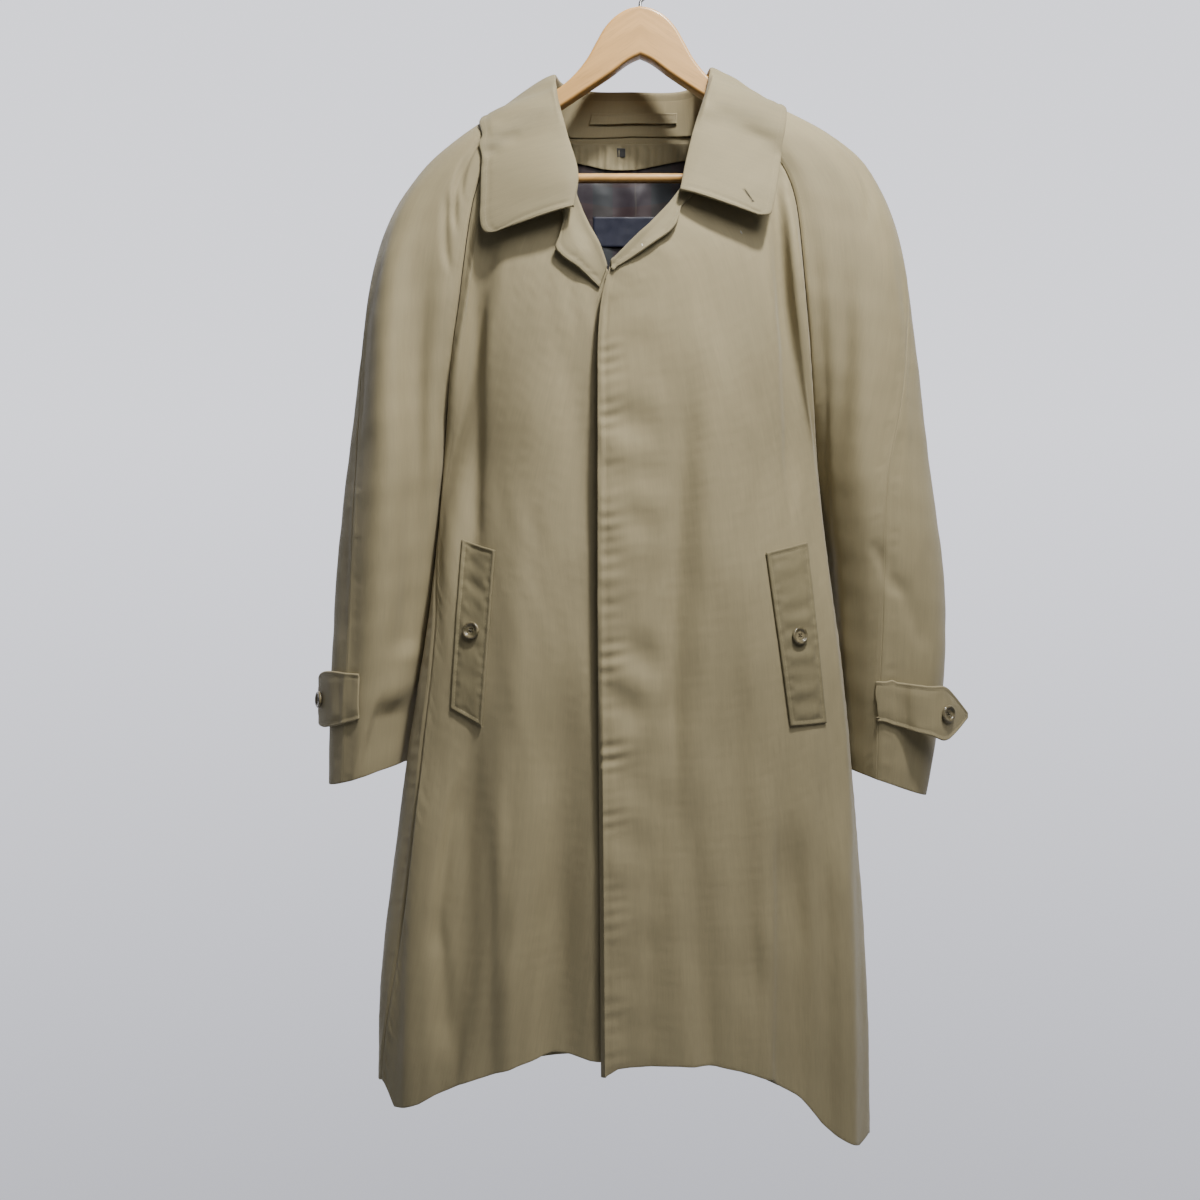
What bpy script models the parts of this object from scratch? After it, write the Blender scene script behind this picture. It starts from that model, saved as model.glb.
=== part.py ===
"""Balmacaan coat, buttoned and hung on a wooden hanger.

The frame is the hanger's: the origin is the saddle of the hook (the inside of its bow, at the top),
+X runs to the wearer's left, -Y is the coat's front and +Z is up. Lengths in the tables are
millimetres. Left and right are the wearer's, so the left front laps over the right one.

Every panel is a loft of rows. A row starts on the coat's seams and follows a section of the garment:
a superellipse round the body, an ellipse round the sleeve. A panel's wall is its rows and the same
rows moved in along normals that neighbouring panels share at their seams.
"""
import math

import bmesh
import bpy
import numpy as np
from mathutils import Vector
from mathutils.bvhtree import BVHTree

MM = 0.001

# Driving sizes, in millimetres
SHELL = 1.6             # twill with its backing
COLLAR_WALL = 2.5       # two layers and an interlining
FACING_WALL = 2.6       # front and facing, turned out together
WELT_WALL = 2.2
TAB_WALL = 2.4
TRIM_WALL = 0.9         # labels and tape
SEAM_GAP = 0.3          # between pieces that are sewn together
LAY_GAP = 0.5           # between a piece and the faceted panel that it lies on
TAB_GAP = 0.7           # between a cuff tab and the sleeve, whose seam it crosses
LEAF_GAP = 2.2          # between the leaf and the rounded shoulders under it
ARMPIT_GAP = 0.8        # between body and sleeve where they meet under the arm
BUTTON_DIAMETER = 17.5
BUTTON_THICKNESS = 3.4
HANGER_THICKNESS = 17.0
HANGER_EDGE = 3.0       # rounding of the hanger's edges
BAR_DIAMETER = 10.0
BAR_Z = -231.5
HOOK_WIRE = 3.6
HOOK_RADIUS = 21.0      # inside radius of the bow
HOOK_TURN = (-62.0, 208.0)      # where the bow starts and ends, in degrees from +X
NECKLINE_DIP = 20.0     # how far the neckline hangs below a straight line
FULLNESS = 2.3          # of the body's section: the power of its superellipse
HEM_REACH = (1.5, 2.0)  # the stations between which the rows take up the hem's shape

SEAM_ROWS = 9           # rows from the neck to the armpit, shared by body and sleeve
BODY_ROWS = 16          # rows from the armpit to the hem
SLEEVE_ROWS = 11        # rows from the armpit to the cuff
# Columns of a front, from its seam to its edge: closer beside the seam, where its roll lies.
FRONT_PARTS = (0.0, 0.03, 0.06, 0.09, 0.125, 0.17, 0.225, 0.285, 0.35, 0.42, 0.49, 0.565, 0.64, 0.72, 0.81,
               0.905, 1.0)
BACK_COLUMNS = 13       # on each half of the back
SLEEVE_FRONT_COLUMNS = 9
SLEEVE_BACK_COLUMNS = 12


def table(columns, *rows):
    """A table with named columns: a dictionary of arrays, one for each column."""
    names = columns.split()
    return dict(zip(names, np.array(rows, dtype=float).T))


# Stations run from 0 at the neck to 1 at the armpit and 2 at the hem or cuff.
# Front raglan seam, then the side seam of the body. wrap goes from 0, an open slope, to 1, a tube.
FRONT_SEAM = {
    "left": table("at x y z wrap",
                  (0.00, 84, -42, -188, 0.00),
                  (0.10, 118, -42, -205, 0.05),
                  (0.19, 143, -43, -228, 0.15),
                  (0.28, 155, -47, -262, 0.25),
                  (0.40, 160, -50, -308, 0.35),
                  (0.53, 165, -48, -360, 0.45),
                  (0.69, 171, -38, -418, 0.60),
                  (0.84, 177, -21, -474, 0.75),
                  (1.00, 183, 0, -530, 0.88),
                  (1.12, 188, -6, -600, 0.96),
                  (1.28, 200, -14, -695, 1.00),
                  (1.45, 210, -16, -805, 1.00),
                  (1.65, 223, -14, -930, 1.00),
                  (1.85, 233, -10, -1080, 1.00),
                  (2.00, 236, -6, -1206, 1.00)),
    "right": table("at x y z wrap",
                   (0.00, -100, -42, -194, 0.00),
                   (0.10, -133, -42, -207, 0.05),
                   (0.19, -156, -44, -228, 0.15),
                   (0.28, -168, -47, -260, 0.25),
                   (0.40, -175, -50, -306, 0.35),
                   (0.53, -182, -48, -358, 0.45),
                   (0.69, -189, -38, -418, 0.60),
                   (0.84, -195, -21, -474, 0.75),
                   (1.00, -201, 0, -530, 0.88),
                   (1.12, -208, -6, -600, 0.96),
                   (1.28, -219, -14, -695, 1.00),
                   (1.45, -236, -16, -805, 1.00),
                   (1.65, -252, -14, -930, 1.00),
                   (1.85, -268, -10, -1080, 1.00),
                   (2.00, -270, -6, -1180, 1.00)),
}
# How far the side seam lies round towards the front edge: 0 on the side, 1 at the edge.
SEAM_FORWARD = {
    "left": table("at part", (0.0, 0.0), (2.0, 0.0)),
    "right": table("at part", (0.0, 0.0), (1.08, 0.0), (1.25, 0.17), (1.45, 0.23), (1.8, 0.22), (2.0, 0.12)),
}
# Back raglan seam, from the neck to the armpit; below it the back shares the side seam.
BACK_SEAM = {
    "left": table("at x y z",
                  (0.00, 62, 48, -172),
                  (0.10, 92, 50, -190),
                  (0.19, 122, 50, -214),
                  (0.28, 143, 51, -250),
                  (0.40, 153, 52, -302),
                  (0.53, 160, 49, -356),
                  (0.69, 168, 38, -416),
                  (0.84, 176, 21, -473),
                  (1.00, 183, 0, -530)),
    "right": table("at x y z",
                   (0.00, -74, 48, -174),
                   (0.10, -104, 50, -192),
                   (0.19, -136, 50, -216),
                   (0.28, -158, 51, -252),
                   (0.40, -170, 52, -302),
                   (0.53, -178, 49, -356),
                   (0.69, -187, 38, -416),
                   (0.84, -194, 21, -473),
                   (1.00, -201, 0, -530)),
}
# Front edges. The left one shows; the right one lies hidden behind the left front.
FRONT_EDGE = {
    "left": table("at x y z",
                  (0.00, -32, -89, -345),
                  (0.06, -37, -91, -360),
                  (0.25, -43, -93, -402),
                  (0.50, -44, -97, -452),
                  (0.75, -44, -100, -512),
                  (1.00, -44, -103, -578),
                  (1.25, -44, -106, -708),
                  (1.50, -43, -108, -845),
                  (1.75, -42, -110, -980),
                  (2.00, -41, -111, -1124)),
    "right": table("at x y z",
                   (0.00, -4, -81, -390),
                   (0.25, 18, -82, -428),
                   (0.50, 31, -85, -472),
                   (0.75, 35, -88, -524),
                   (1.00, 36, -91, -584),
                   (1.25, 36, -94, -712),
                   (1.50, 36, -96, -847),
                   (1.75, 36, -98, -980),
                   (2.00, 36, -99, -1116)),
}
BACK_CENTRE = table("at x y z",
                    (0.00, -6, 56, -170),
                    (0.25, -7, 63, -260),
                    (0.50, -7, 68, -350),
                    (0.75, -7, 69, -440),
                    (1.00, -7, 68, -532),
                    (1.25, -7, 67, -680),
                    (1.50, -8, 69, -840),
                    (1.75, -9, 72, -1000),
                    (2.00, -10, 75, -1163))
# Hem height over the part of each row, from the side seam (0) to the front edge or centre back (1).
HEM = {
    "front_left": table("part z", (0.0, -1216), (0.02, -1211), (0.07, -1214), (0.11, -1208), (0.16, -1199),
                        (0.21, -1186), (0.29, -1159), (0.39, -1135), (0.49, -1126), (0.60, -1120),
                        (0.72, -1117), (0.94, -1119), (1.0, -1127)),
    "front_right": table("part z", (0.0, -1162), (0.02, -1158), (0.04, -1165), (0.07, -1179), (0.11, -1176),
                         (0.16, -1170), (0.21, -1160), (0.29, -1147), (0.39, -1134), (0.49, -1122),
                         (0.60, -1110), (0.72, -1115), (1.0, -1116)),
    "back_left": table("part z", (0.0, -1216), (0.12, -1210), (0.29, -1197), (0.53, -1181), (0.75, -1170),
                       (1.0, -1163)),
    "back_right": table("part z", (0.0, -1162), (0.12, -1176), (0.3, -1178), (0.5, -1173), (0.75, -1167),
                        (1.0, -1163)),
}
# The sleeve: its outer line (the ridge of the shoulder, then the outer side of the arm), the depth of
# its front and back halves, where the overarm seam runs (1 on the outer line, less is nearer the
# front), and turn, how far round its own section the raglan seam has come (0 in front, 1 inside).
SLEEVE_LINE = {
    "left": table("at x y z front back seam turn",
                  (0.00, 90, 0, -137, 42, 46, 1.00, 0.00),
                  (0.10, 125, 0, -153, 43, 50, 1.00, 0.13),
                  (0.19, 163, 0, -170, 45, 54, 1.00, 0.19),
                  (0.28, 206, 0, -194, 50, 58, 1.00, 0.22),
                  (0.40, 242, 0, -232, 56, 62, 0.98, 0.30),
                  (0.53, 264, 0, -286, 60, 64, 0.94, 0.42),
                  (0.69, 279, 0, -360, 63, 66, 0.82, 0.60),
                  (0.84, 290, 0, -440, 65, 67, 0.66, 0.79),
                  (1.00, 299, 0, -528, 66, 68, 0.54, 1.00),
                  (1.26, 310, 0, -620, 67, 67, 0.46, 1.00),
                  (1.46, 314, 0, -690, 66, 64, 0.43, 1.00),
                  (1.67, 311, 0, -760, 62, 60, 0.41, 1.00),
                  (1.86, 302, 0, -824, 58, 56, 0.40, 1.00),
                  (2.00, 294, 0, -871, 55, 53, 0.40, 1.00)),
    "right": table("at x y z front back seam turn",
                   (0.00, -102, 0, -146, 42, 46, 1.00, 0.00),
                   (0.10, -133, 0, -159, 43, 50, 1.00, 0.13),
                   (0.19, -165, 0, -176, 45, 54, 1.00, 0.19),
                   (0.28, -200, 0, -202, 50, 58, 1.00, 0.22),
                   (0.40, -238, 0, -240, 56, 62, 0.99, 0.30),
                   (0.53, -264, 0, -286, 60, 64, 0.96, 0.42),
                   (0.69, -283, 0, -362, 63, 66, 0.90, 0.60),
                   (0.84, -292, 0, -442, 65, 67, 0.84, 0.79),
                   (1.00, -302, 0, -530, 66, 68, 0.78, 1.00),
                   (1.17, -308, 0, -589, 67, 67, 0.74, 1.00),
                   (1.50, -315, 0, -695, 64, 62, 0.70, 1.00),
                   (1.83, -319, 0, -800, 58, 56, 0.69, 1.00),
                   (2.00, -320, 0, -860, 55, 53, 0.69, 1.00)),
}
# Underarm seam of the sleeve, from the armpit to the cuff: it passes just behind the body's side.
UNDERARM = {
    "left": table("at x y z",
                  (1.00, 183, 0, -530),
                  (1.10, 186, 9, -566),
                  (1.26, 190, 19, -620),
                  (1.46, 196, 25, -688),
                  (1.67, 201, 27, -752),
                  (1.86, 206, 27, -806),
                  (2.00, 209, 27, -842)),
    "right": table("at x y z",
                   (1.00, -201, 0, -530),
                   (1.10, -204, 9, -563),
                   (1.26, -207, 19, -615),
                   (1.50, -215, 25, -692),
                   (1.75, -227, 27, -770),
                   (2.00, -237, 27, -838)),
}
# Roll line and outer edge of the collar, from the right end (0) round the back to the left end (1).
ROLL_LINE = table("at x y z",
                  (0.00, -69, -87, -287),
                  (0.09, -65, -78, -250),
                  (0.18, -77, -50, -199),
                  (0.24, -86, -24, -152),
                  (0.28, -89, -3, -128),
                  (0.33, -83, 22, -126),
                  (0.38, -68, 40, -126),
                  (0.49, -6, 52, -125),
                  (0.60, 52, 42, -126),
                  (0.66, 68, 22, -123),
                  (0.71, 74, -3, -120),
                  (0.76, 67, -26, -150),
                  (0.82, 56, -46, -190),
                  (0.91, 46, -66, -232),
                  (1.00, 38, -86, -271))
LEAF_EDGE = table("at x y z",
                  (0.00, -144, -76, -308),
                  (0.02, -154, -74, -308),
                  (0.05, -160.5, -69, -297),
                  (0.09, -161, -62, -272),
                  (0.16, -161, -48, -228),
                  (0.23, -160, -22, -186),
                  (0.28, -158, 0, -168),
                  (0.33, -150, 28, -174),
                  (0.38, -126, 50, -184),
                  (0.43, -80, 66, -190),
                  (0.49, -6, 73, -190),
                  (0.55, 68, 66, -190),
                  (0.60, 112, 50, -180),
                  (0.66, 138, 27, -164),
                  (0.71, 144, 0, -157),
                  (0.77, 145, -26, -182),
                  (0.84, 140, -52, -228),
                  (0.91, 132, -77, -268),
                  (0.95, 128, -85, -285),
                  (0.98, 123.5, -89, -294.5),
                  (1.00, 113, -90, -295.5))
COLLAR_COLUMNS = 41
# Turned-out tops of the fronts: the roll at the neck opening and the free edge, from the collar down.
LAPEL = {
    "left": table("at roll_x roll_z edge_x edge_z",
                  (0.00, 42, -262, 50, -272),
                  (0.15, 36, -270, 38.5, -284),
                  (0.30, 29, -280, 35, -297),
                  (0.45, 17, -295, 28, -310),
                  (0.70, -8, -320, -2, -332),
                  (1.00, -31, -344, -30, -350)),
    "right": table("at roll_x roll_z edge_x edge_z",
                   (0.00, -68, -262, -84, -276),
                   (0.15, -65, -273, -78, -293),
                   (0.30, -61, -284, -81, -311),
                   (0.50, -54, -301, -84, -327),
                   (0.75, -43, -322, -62, -346),
                   (1.00, -35, -345, -42, -364)),
}
# Folds of the fronts and back. top and foot are the ends of each fold's line, width is its half
# width and rise its height (a hollow is negative).
FOLDS = {
    "front_left": table("top_x top_z foot_x foot_z width rise",
                        (58, -380, 88, -760, 28, 5),
                        (80, -640, 108, -1060, 22, -9),
                        (36, -760, 50, -1170, 20, 5),
                        (146, -880, 158, -1220, 16, -9),
                        (196, -860, 208, -1240, 18, 6),
                        (122, -940, 126, -1180, 14, 5)),
    "front_right": table("top_x top_z foot_x foot_z width rise",
                         (-96, -420, -110, -800, 24, 5),
                         (-80, -720, -70, -1170, 22, -9),
                         (-165, -770, -182, -1120, 16, -8),
                         (-136, -800, -146, -1170, 15, 5),
                         (-212, -820, -226, -1160, 16, 5)),
    "back": table("top_x top_z foot_x foot_z width rise",
                  (-118, -260, -138, -620, 18, -6),
                  (110, -260, 128, -600, 18, -6),
                  (-60, -300, -96, -1200, 26, 6),
                  (44, -420, 78, -1220, 24, 7),
                  (-8, -560, -14, -1220, 22, -8),
                  (-146, -700, -170, -1230, 20, -9),
                  (136, -760, 162, -1250, 20, -9)),
}
# The roll of cloth beside each front raglan seam: its ridge and the hollow next to it.
SEAM_ROLL = table("part width rise", (0.06, 0.035, 5.0), (0.17, 0.055, -6.0))
# Folds of the sleeves: station of the upper and lower end, place round the section at each end
# (0 at the front raglan seam, 1 on the outer line, 2 at the back seam), half width, rise.
SLEEVE_FOLDS = {
    "left": table("top foot place_top place_foot width rise",
                  (0.42, 1.15, 0.34, 0.20, 0.10, -8),
                  (0.50, 1.40, 0.62, 0.52, 0.12, 4),
                  (0.95, 1.45, 0.62, 0.20, 0.09, -4),
                  (1.25, 1.60, 0.36, 0.84, 0.08, -4),
                  (0.45, 1.30, 1.45, 1.60, 0.14, -7),
                  (0.90, 1.80, 1.30, 1.25, 0.14, 4)),
    "right": table("top foot place_top place_foot width rise",
                   (0.22, 0.40, 0.72, 0.50, 0.09, -4),
                   (0.42, 1.30, 0.42, 0.30, 0.10, -8),
                   (0.40, 1.10, 0.66, 0.58, 0.12, 4),
                   (1.05, 1.95, 0.24, 0.30, 0.10, -5),
                   (0.45, 1.30, 1.45, 1.60, 0.14, -7),
                   (0.90, 1.80, 1.30, 1.25, 0.14, 4)),
}
# Pocket welts, a row for the top edge and one for the bottom edge: the edge's middle, half its width
# and how far its outer end lies above its middle.
WELTS = {
    "left": table("at x z half rise", (0, 142, -618, 22, 5.7), (1, 163, -793, 19, 1.0)),
    "right": table("at x z half rise", (0, -162, -615, 18, 5.7), (1, -173, -786, 16, 8.3)),
}
# Half outline of the hanger, from its top at the hook, out along the arm and back along its underside.
HANGER_OUTLINE = table("x z",
                       (0, -55), (12, -57.5), (24, -64), (36, -76), (45, -91), (55, -109), (70, -127.5),
                       (80, -136.4), (90, -143.6), (100, -149.2), (130, -162.2), (150, -172.2),
                       (170, -184.6), (190, -198.3), (205, -212.2), (213, -221), (217, -232), (216, -243),
                       (210, -247), (203.6, -244), (202.6, -226), (196, -222.5), (150, -198), (120, -181.5),
                       (88, -163), (60, -144.5), (30, -124.5), (8, -109), (0, -105.5))
# The collar: its stand, and how the leaf turns over.
GORGE = {"left": 0.24, "right": 0.26}   # where the stand ends on the neckline of each front
STAND_LIFT = 1.0        # of the stand above the neckline's edge, and in from it
NECK_MIDDLE = np.array((-8.0, -6.0, -160.0))
STAND_COLUMNS = (3, 37)         # the first and last column of the collar that the stand reaches
STAND_WALL = 2.2
ROLL_TURN = 9.0         # how far out the leaf turns over, behind
ROLL_SPREAD = 14.0      # how much farther out it turns in front
LEAF_SWELL = 9.0        # how far the front of the leaf stands off the chest
LEAF_ACROSS = (0.0, 0.1, 0.22, 0.36, 0.52, 0.68, 0.84, 1.0)
# What shows inside the neck.
NECK_FACING = {"left": 62.0, "right": -72.0, "top": -178.0, "foot": -201.0, "wave": 5.0}
LINING = {"left": 98.0, "right": -112.0, "foot": -400.0}
NECK_LABEL = {"x": -9.0, "z": -271.0, "width": 80.0, "height": 32.0}
SIZE_TAB = {"x": -19.0, "z": -187.0, "width": 9.0, "height": 9.0}
HANG_LOOP = {"rows": 16, "top": 8, "foot": 4, "columns": (14, 20), "bow": 1.2, "wall": 1.6}
BAR_HALF = 202.3        # half the bar's length, to the lugs of the arms
HOOK_FOOT = -54.6
# Cuff tabs: the path of the top edge and of the bottom edge, from the overarm seam to the tip.
CUFF_TAB = {
    "left": table("at x y top foot",
                  (0.00, 230, -62, -752, -793),
                  (0.20, 250, -69, -753, -797),
                  (0.40, 270, -69, -754, -801),
                  (0.60, 290, -60, -756, -806),
                  (0.75, 304, -50, -757, -811),
                  (0.88, 318, -40, -770, -802),
                  (1.00, 331, -31, -785, -789)),
    "right": table("at x y top foot",
                   (0.00, -284, -54, -744, -790),
                   (0.20, -301, -46, -743, -795),
                   (0.40, -317, -30, -742, -799),
                   (0.60, -328, -10, -744, -801),
                   (0.78, -333, 8, -752, -797),
                   (0.90, -335, 20, -762, -785),
                   (1.00, -335, 29, -771, -775)),
}
TAB_FREE = (0.25, 0.75)     # where along the tab it leaves the sleeve
TAB_BUTTON_COLUMN = {"left": 6, "right": 5}

# Finishes: colour, roughness, metallic
FINISHES = {
    "shell_twill": ((0.36, 0.31, 0.22), 0.62, 0.0),
    "facing_twill": ((0.40, 0.35, 0.26), 0.65, 0.0),
    "lining_cloth": ((0.03, 0.012, 0.018), 0.55, 0.0),
    "label_satin": ((0.015, 0.02, 0.06), 0.40, 0.0),
    "tab_black": ((0.01, 0.01, 0.01), 0.60, 0.0),
    "horn_button": ((0.12, 0.08, 0.045), 0.28, 0.0),
    "beech": ((0.62, 0.44, 0.25), 0.42, 0.0),
    "hook_steel": ((0.62, 0.62, 0.60), 0.25, 1.0),
}


def smooth(rows, column, where):
    """A table's column between its rows, on cubic arcs whose slopes are the means of their sides."""
    at = rows["at"]
    value = rows[column]
    slope = np.gradient(value, at)
    where = np.clip(np.asarray(where, dtype=float), at[0], at[-1])
    row = np.clip(np.searchsorted(at, where, side="right") - 1, 0, len(at) - 2)
    span = at[row + 1] - at[row]
    part = (where - at[row]) / span
    start = (1 + 2 * part) * (1 - part) ** 2 * value[row] + part * (1 - part) ** 2 * span * slope[row]
    end = part ** 2 * (3 - 2 * part) * value[row + 1] + part ** 2 * (part - 1) * span * slope[row + 1]
    return start + end


def point_on(rows, where):
    """The x, y and z columns at stations, as points."""
    return np.stack([smooth(rows, axis, where) for axis in "xyz"], axis=-1)


def ease(value, low, high):
    """0 below low, 1 above high, and a smooth step between them."""
    part = np.clip((value - low) / (high - low), 0.0, 1.0)
    return part * part * (3 - 2 * part)


def side_seam(side, at):
    """Front raglan seam above the armpit, side seam below it."""
    return point_on(FRONT_SEAM[side], at)


def back_seam(side, at):
    """Back raglan seam above the armpit, side seam below it."""
    return np.where((at < 1.0)[..., None], point_on(BACK_SEAM[side], at), side_seam(side, at))


def raised(points, folds, outward, keep):
    """Points moved to the front or back by the folds' soft ridges and hollows."""
    moved = points.copy()
    for row in range(len(folds["rise"])):
        run = (points[..., 2] - folds["top_z"][row]) / (folds["foot_z"][row] - folds["top_z"][row])
        line = folds["top_x"][row] + (folds["foot_x"][row] - folds["top_x"][row]) * run
        ends = ease(run, 0.0, 0.22) * (1.0 - ease(run, 0.90, 1.12))
        across = np.exp(-((points[..., 0] - line) / folds["width"][row]) ** 2)
        moved[..., 1] += outward * folds["rise"][row] * ends * across * keep
    return moved


def body_rows(seam, middle, wrap, part, at, hem, foot):
    """Rows of a body panel from its seam (part 0) to its front edge or centre back (part 1).

    Across, the cloth goes from the seam to the middle as the cosine of the part where it wraps
    round the side, and evenly where it slopes. Its depth is (1 - across ** FULLNESS) ** power, and
    the power falls from 1 on a slope to 1 / FULLNESS on a tube. Foot is where the seam and the
    middle end: the rows stretch or shrink from there to the hem's own height.
    """
    across = (1 - wrap) * (1 - part) + wrap * np.cos(part * math.pi / 2)
    power = 1 - wrap * (1 - 1 / FULLNESS)
    depth = np.maximum(1 - across ** FULLNESS, 0.0) ** power
    rows = middle + (seam - middle) * across[..., None]
    rows[..., 1] = seam[..., 1] + (middle[..., 1] - seam[..., 1]) * depth
    level = np.interp(1 - across, hem["part"], hem["z"])
    straight = foot[1][2] + (foot[0][2] - foot[1][2]) * across
    rows[..., 2] += (level - straight) * ease(at, *HEM_REACH)
    return rows


def front_surface(side, at, part):
    """The outside of a front, at station at and part 0 (seam) to 1 (front edge)."""
    at, part = np.broadcast_arrays(np.asarray(at, dtype=float), np.asarray(part, dtype=float))
    seam = side_seam(side, at)
    edge = point_on(FRONT_EDGE[side], at)
    wrap = smooth(FRONT_SEAM[side], "wrap", at)
    foot = (side_seam(side, 2.0), point_on(FRONT_EDGE[side], 2.0))
    rows = body_rows(seam, edge, wrap, part, at, HEM["front_" + side], foot)
    dip = np.sin(math.pi * part) ** 0.7 * (1 - ease(at, 0.0, 0.5))
    rows[..., 2] -= NECKLINE_DIP * dip
    keep = ease(part, 0.0, 0.14) * (1 - 0.75 * ease(part, 0.86, 1.0)) * ease(at, 0.02, 0.2)
    if side == "right":
        keep = keep * (1 - 0.7 * ease(rows[..., 0], -55, -35))
    rows = raised(rows, FOLDS["front_" + side], -1.0, keep)
    roll = ease(at, 0.22, 0.42) * (1 - ease(at, 0.95, 1.3))
    for row in range(len(SEAM_ROLL["rise"])):
        across = np.exp(-((part - SEAM_ROLL["part"][row]) / SEAM_ROLL["width"][row]) ** 2)
        rows[..., 1] -= SEAM_ROLL["rise"][row] * across * roll * ease(part, 0.0, 0.05)
    return rows


def back_surface(side, at, part):
    """The outside of the back, at station at and part 0 (seam) to 1 (centre back)."""
    at, part = np.broadcast_arrays(np.asarray(at, dtype=float), np.asarray(part, dtype=float))
    seam = back_seam(side, at)
    centre = point_on(BACK_CENTRE, at)
    wrap = smooth(FRONT_SEAM[side], "wrap", at)
    foot = (side_seam(side, 2.0), point_on(BACK_CENTRE, 2.0))
    rows = body_rows(seam, centre, wrap, part, at, HEM["back_" + side], foot)
    keep = ease(part, 0.0, 0.16) * ease(at, 0.05, 0.3)
    return raised(rows, FOLDS["back"], 1.0, keep)


def seam_forward(side, at):
    """How far the side seam lies round towards the front edge."""
    return np.maximum(smooth(SEAM_FORWARD[side], "part", at), 0.0)


def front_panel(side, at, part):
    """The outside of a front, from its seam (part 0) to its front edge (part 1)."""
    seam = seam_forward(side, at)
    return front_surface(side, at, np.minimum(seam + (1 - seam) * part, 1.0))


def back_panel(side, at, part):
    """The outside of half the back, from its seam (part 0), which may lie in front, to the centre (part 1)."""
    seam = seam_forward(side, at)
    at, turn = np.broadcast_arrays(at, seam - (1 + seam) * part)
    front = front_surface(side, at, np.clip(turn, 0.0, 1.0))
    rear = back_surface(side, at, np.clip(-turn, 0.0, 1.0))
    return np.where((turn > 0.0)[..., None], front, rear)


def sleeve_surface(side, at, place):
    """The outside of a sleeve, at station at and place 0 (front seam), 1 (outer line), 2 (back seam).

    A row is half an ellipse in front and half behind. The angle runs from the seam's turn, between 0
    at the front and a quarter turn back on the inner side, to a quarter turn out on the outer line.
    """
    at, place = np.broadcast_arrays(np.asarray(at, dtype=float), np.asarray(place, dtype=float))
    line = SLEEVE_LINE[side]
    outer = point_on(line, at)
    front = place <= 1.0
    above = at < 1.0
    under = point_on(UNDERARM[side], at)
    front_seam = np.where(above[..., None], side_seam(side, at), under)
    rear_seam = np.where(above[..., None], back_seam(side, at), under)
    seam = np.where(front[..., None], front_seam, rear_seam)
    depth = np.where(front, -smooth(line, "front", at), smooth(line, "back", at))
    part = np.where(front, place, 2.0 - place)
    start = -math.pi / 2 * smooth(line, "turn", at)
    angle = start + (math.pi / 2 - start) * part
    across = (np.sin(angle) - np.sin(start)) / (1 - np.sin(start))
    rows = seam + (outer - seam) * across[..., None]
    bow = depth * np.cos(angle)
    seam_centre = seam[..., 1] - depth * np.cos(start)
    rows[..., 1] = (1 - part) * seam_centre + part * outer[..., 1] + bow
    return rows + sleeve_folds(side, at, place, rows, bow)


def sleeve_folds(side, at, place, rows, bow):
    """How far the sleeve's folds move each point, outward from the middle of its section."""
    folds = SLEEVE_FOLDS[side]
    rise = np.zeros_like(at)
    for row in range(len(folds["rise"])):
        run = (at - folds["top"][row]) / (folds["foot"][row] - folds["top"][row])
        line = folds["place_top"][row] + (folds["place_foot"][row] - folds["place_top"][row]) * run
        ends = ease(run, 0.0, 0.3) * (1.0 - ease(run, 0.75, 1.05))
        rise += folds["rise"][row] * ends * np.exp(-((place - line) / folds["width"][row]) ** 2)
    rise *= ease(place, 0.0, 0.12) * ease(2.0 - place, 0.0, 0.12)
    lean = 1.0 if side == "left" else -1.0
    outward = np.stack([lean * 0.35 * np.sin((place - 0.5) * math.pi / 1.5), np.sign(bow), 0 * bow], axis=-1)
    return outward * rise[..., None]


def grid_normals(points, facing):
    """Unit normals of a grid of points, on the side that faces the given way."""
    normal = np.cross(np.gradient(points, axis=0), np.gradient(points, axis=1))
    normal /= np.maximum(np.linalg.norm(normal, axis=-1, keepdims=True), 1e-9)
    return normal * np.sign(np.sum(normal * np.array(facing)))


def border(points):
    """The row and column of every point on a grid's border."""
    rows, columns = points.shape[:2]
    spots = {(row, column) for row in range(rows) for column in (0, columns - 1)}
    return sorted(spots | {(row, column) for row in (0, rows - 1) for column in range(columns)})


def shared_offsets(panels, thickness):
    """The steps from each panel's outside to its inside, mitred where panels share a point.

    At the armpit the normals of body and sleeve cancel out, so each of the two keeps its own mean.
    """
    normals = {name: grid_normals(points, facing) for name, (points, facing) in panels.items()}
    total = {}
    for name, (points, facing) in panels.items():
        for spot in border(points):
            key = tuple(np.round(points[spot], 2))
            for group in (key, key + (name[:6] == "sleeve",)):
                total[group] = total.get(group, np.zeros(3)) + normals[name][spot]
    steps = {}
    for name, (points, facing) in panels.items():
        steps[name] = -thickness * normals[name]
        for spot in border(points):
            key = tuple(np.round(points[spot], 2))
            mean = total[key]
            if np.linalg.norm(mean) < 0.9:
                mean = total[key + (name[:6] == "sleeve",)]
            mean = mean / np.linalg.norm(mean)
            steps[name][spot] = -thickness * mean / max(float(mean @ normals[name][spot]), 0.5)
    return steps


def drawn_in(points):
    """A grid with all four edges drawn in by the seam gap."""
    cut = points.copy()
    cut[:, 0] += step_in(points[:, 0], points[:, 1])
    cut[:, -1] += step_in(points[:, -1], points[:, -2])
    cut[0] += step_in(points[0], points[1])
    cut[-1] += step_in(points[-1], points[-2])
    return cut


def step_in(edge, inner):
    """A step of the seam gap from each point of an edge towards its inner neighbour."""
    step = inner - edge
    return step / np.linalg.norm(step, axis=-1, keepdims=True) * SEAM_GAP


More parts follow.
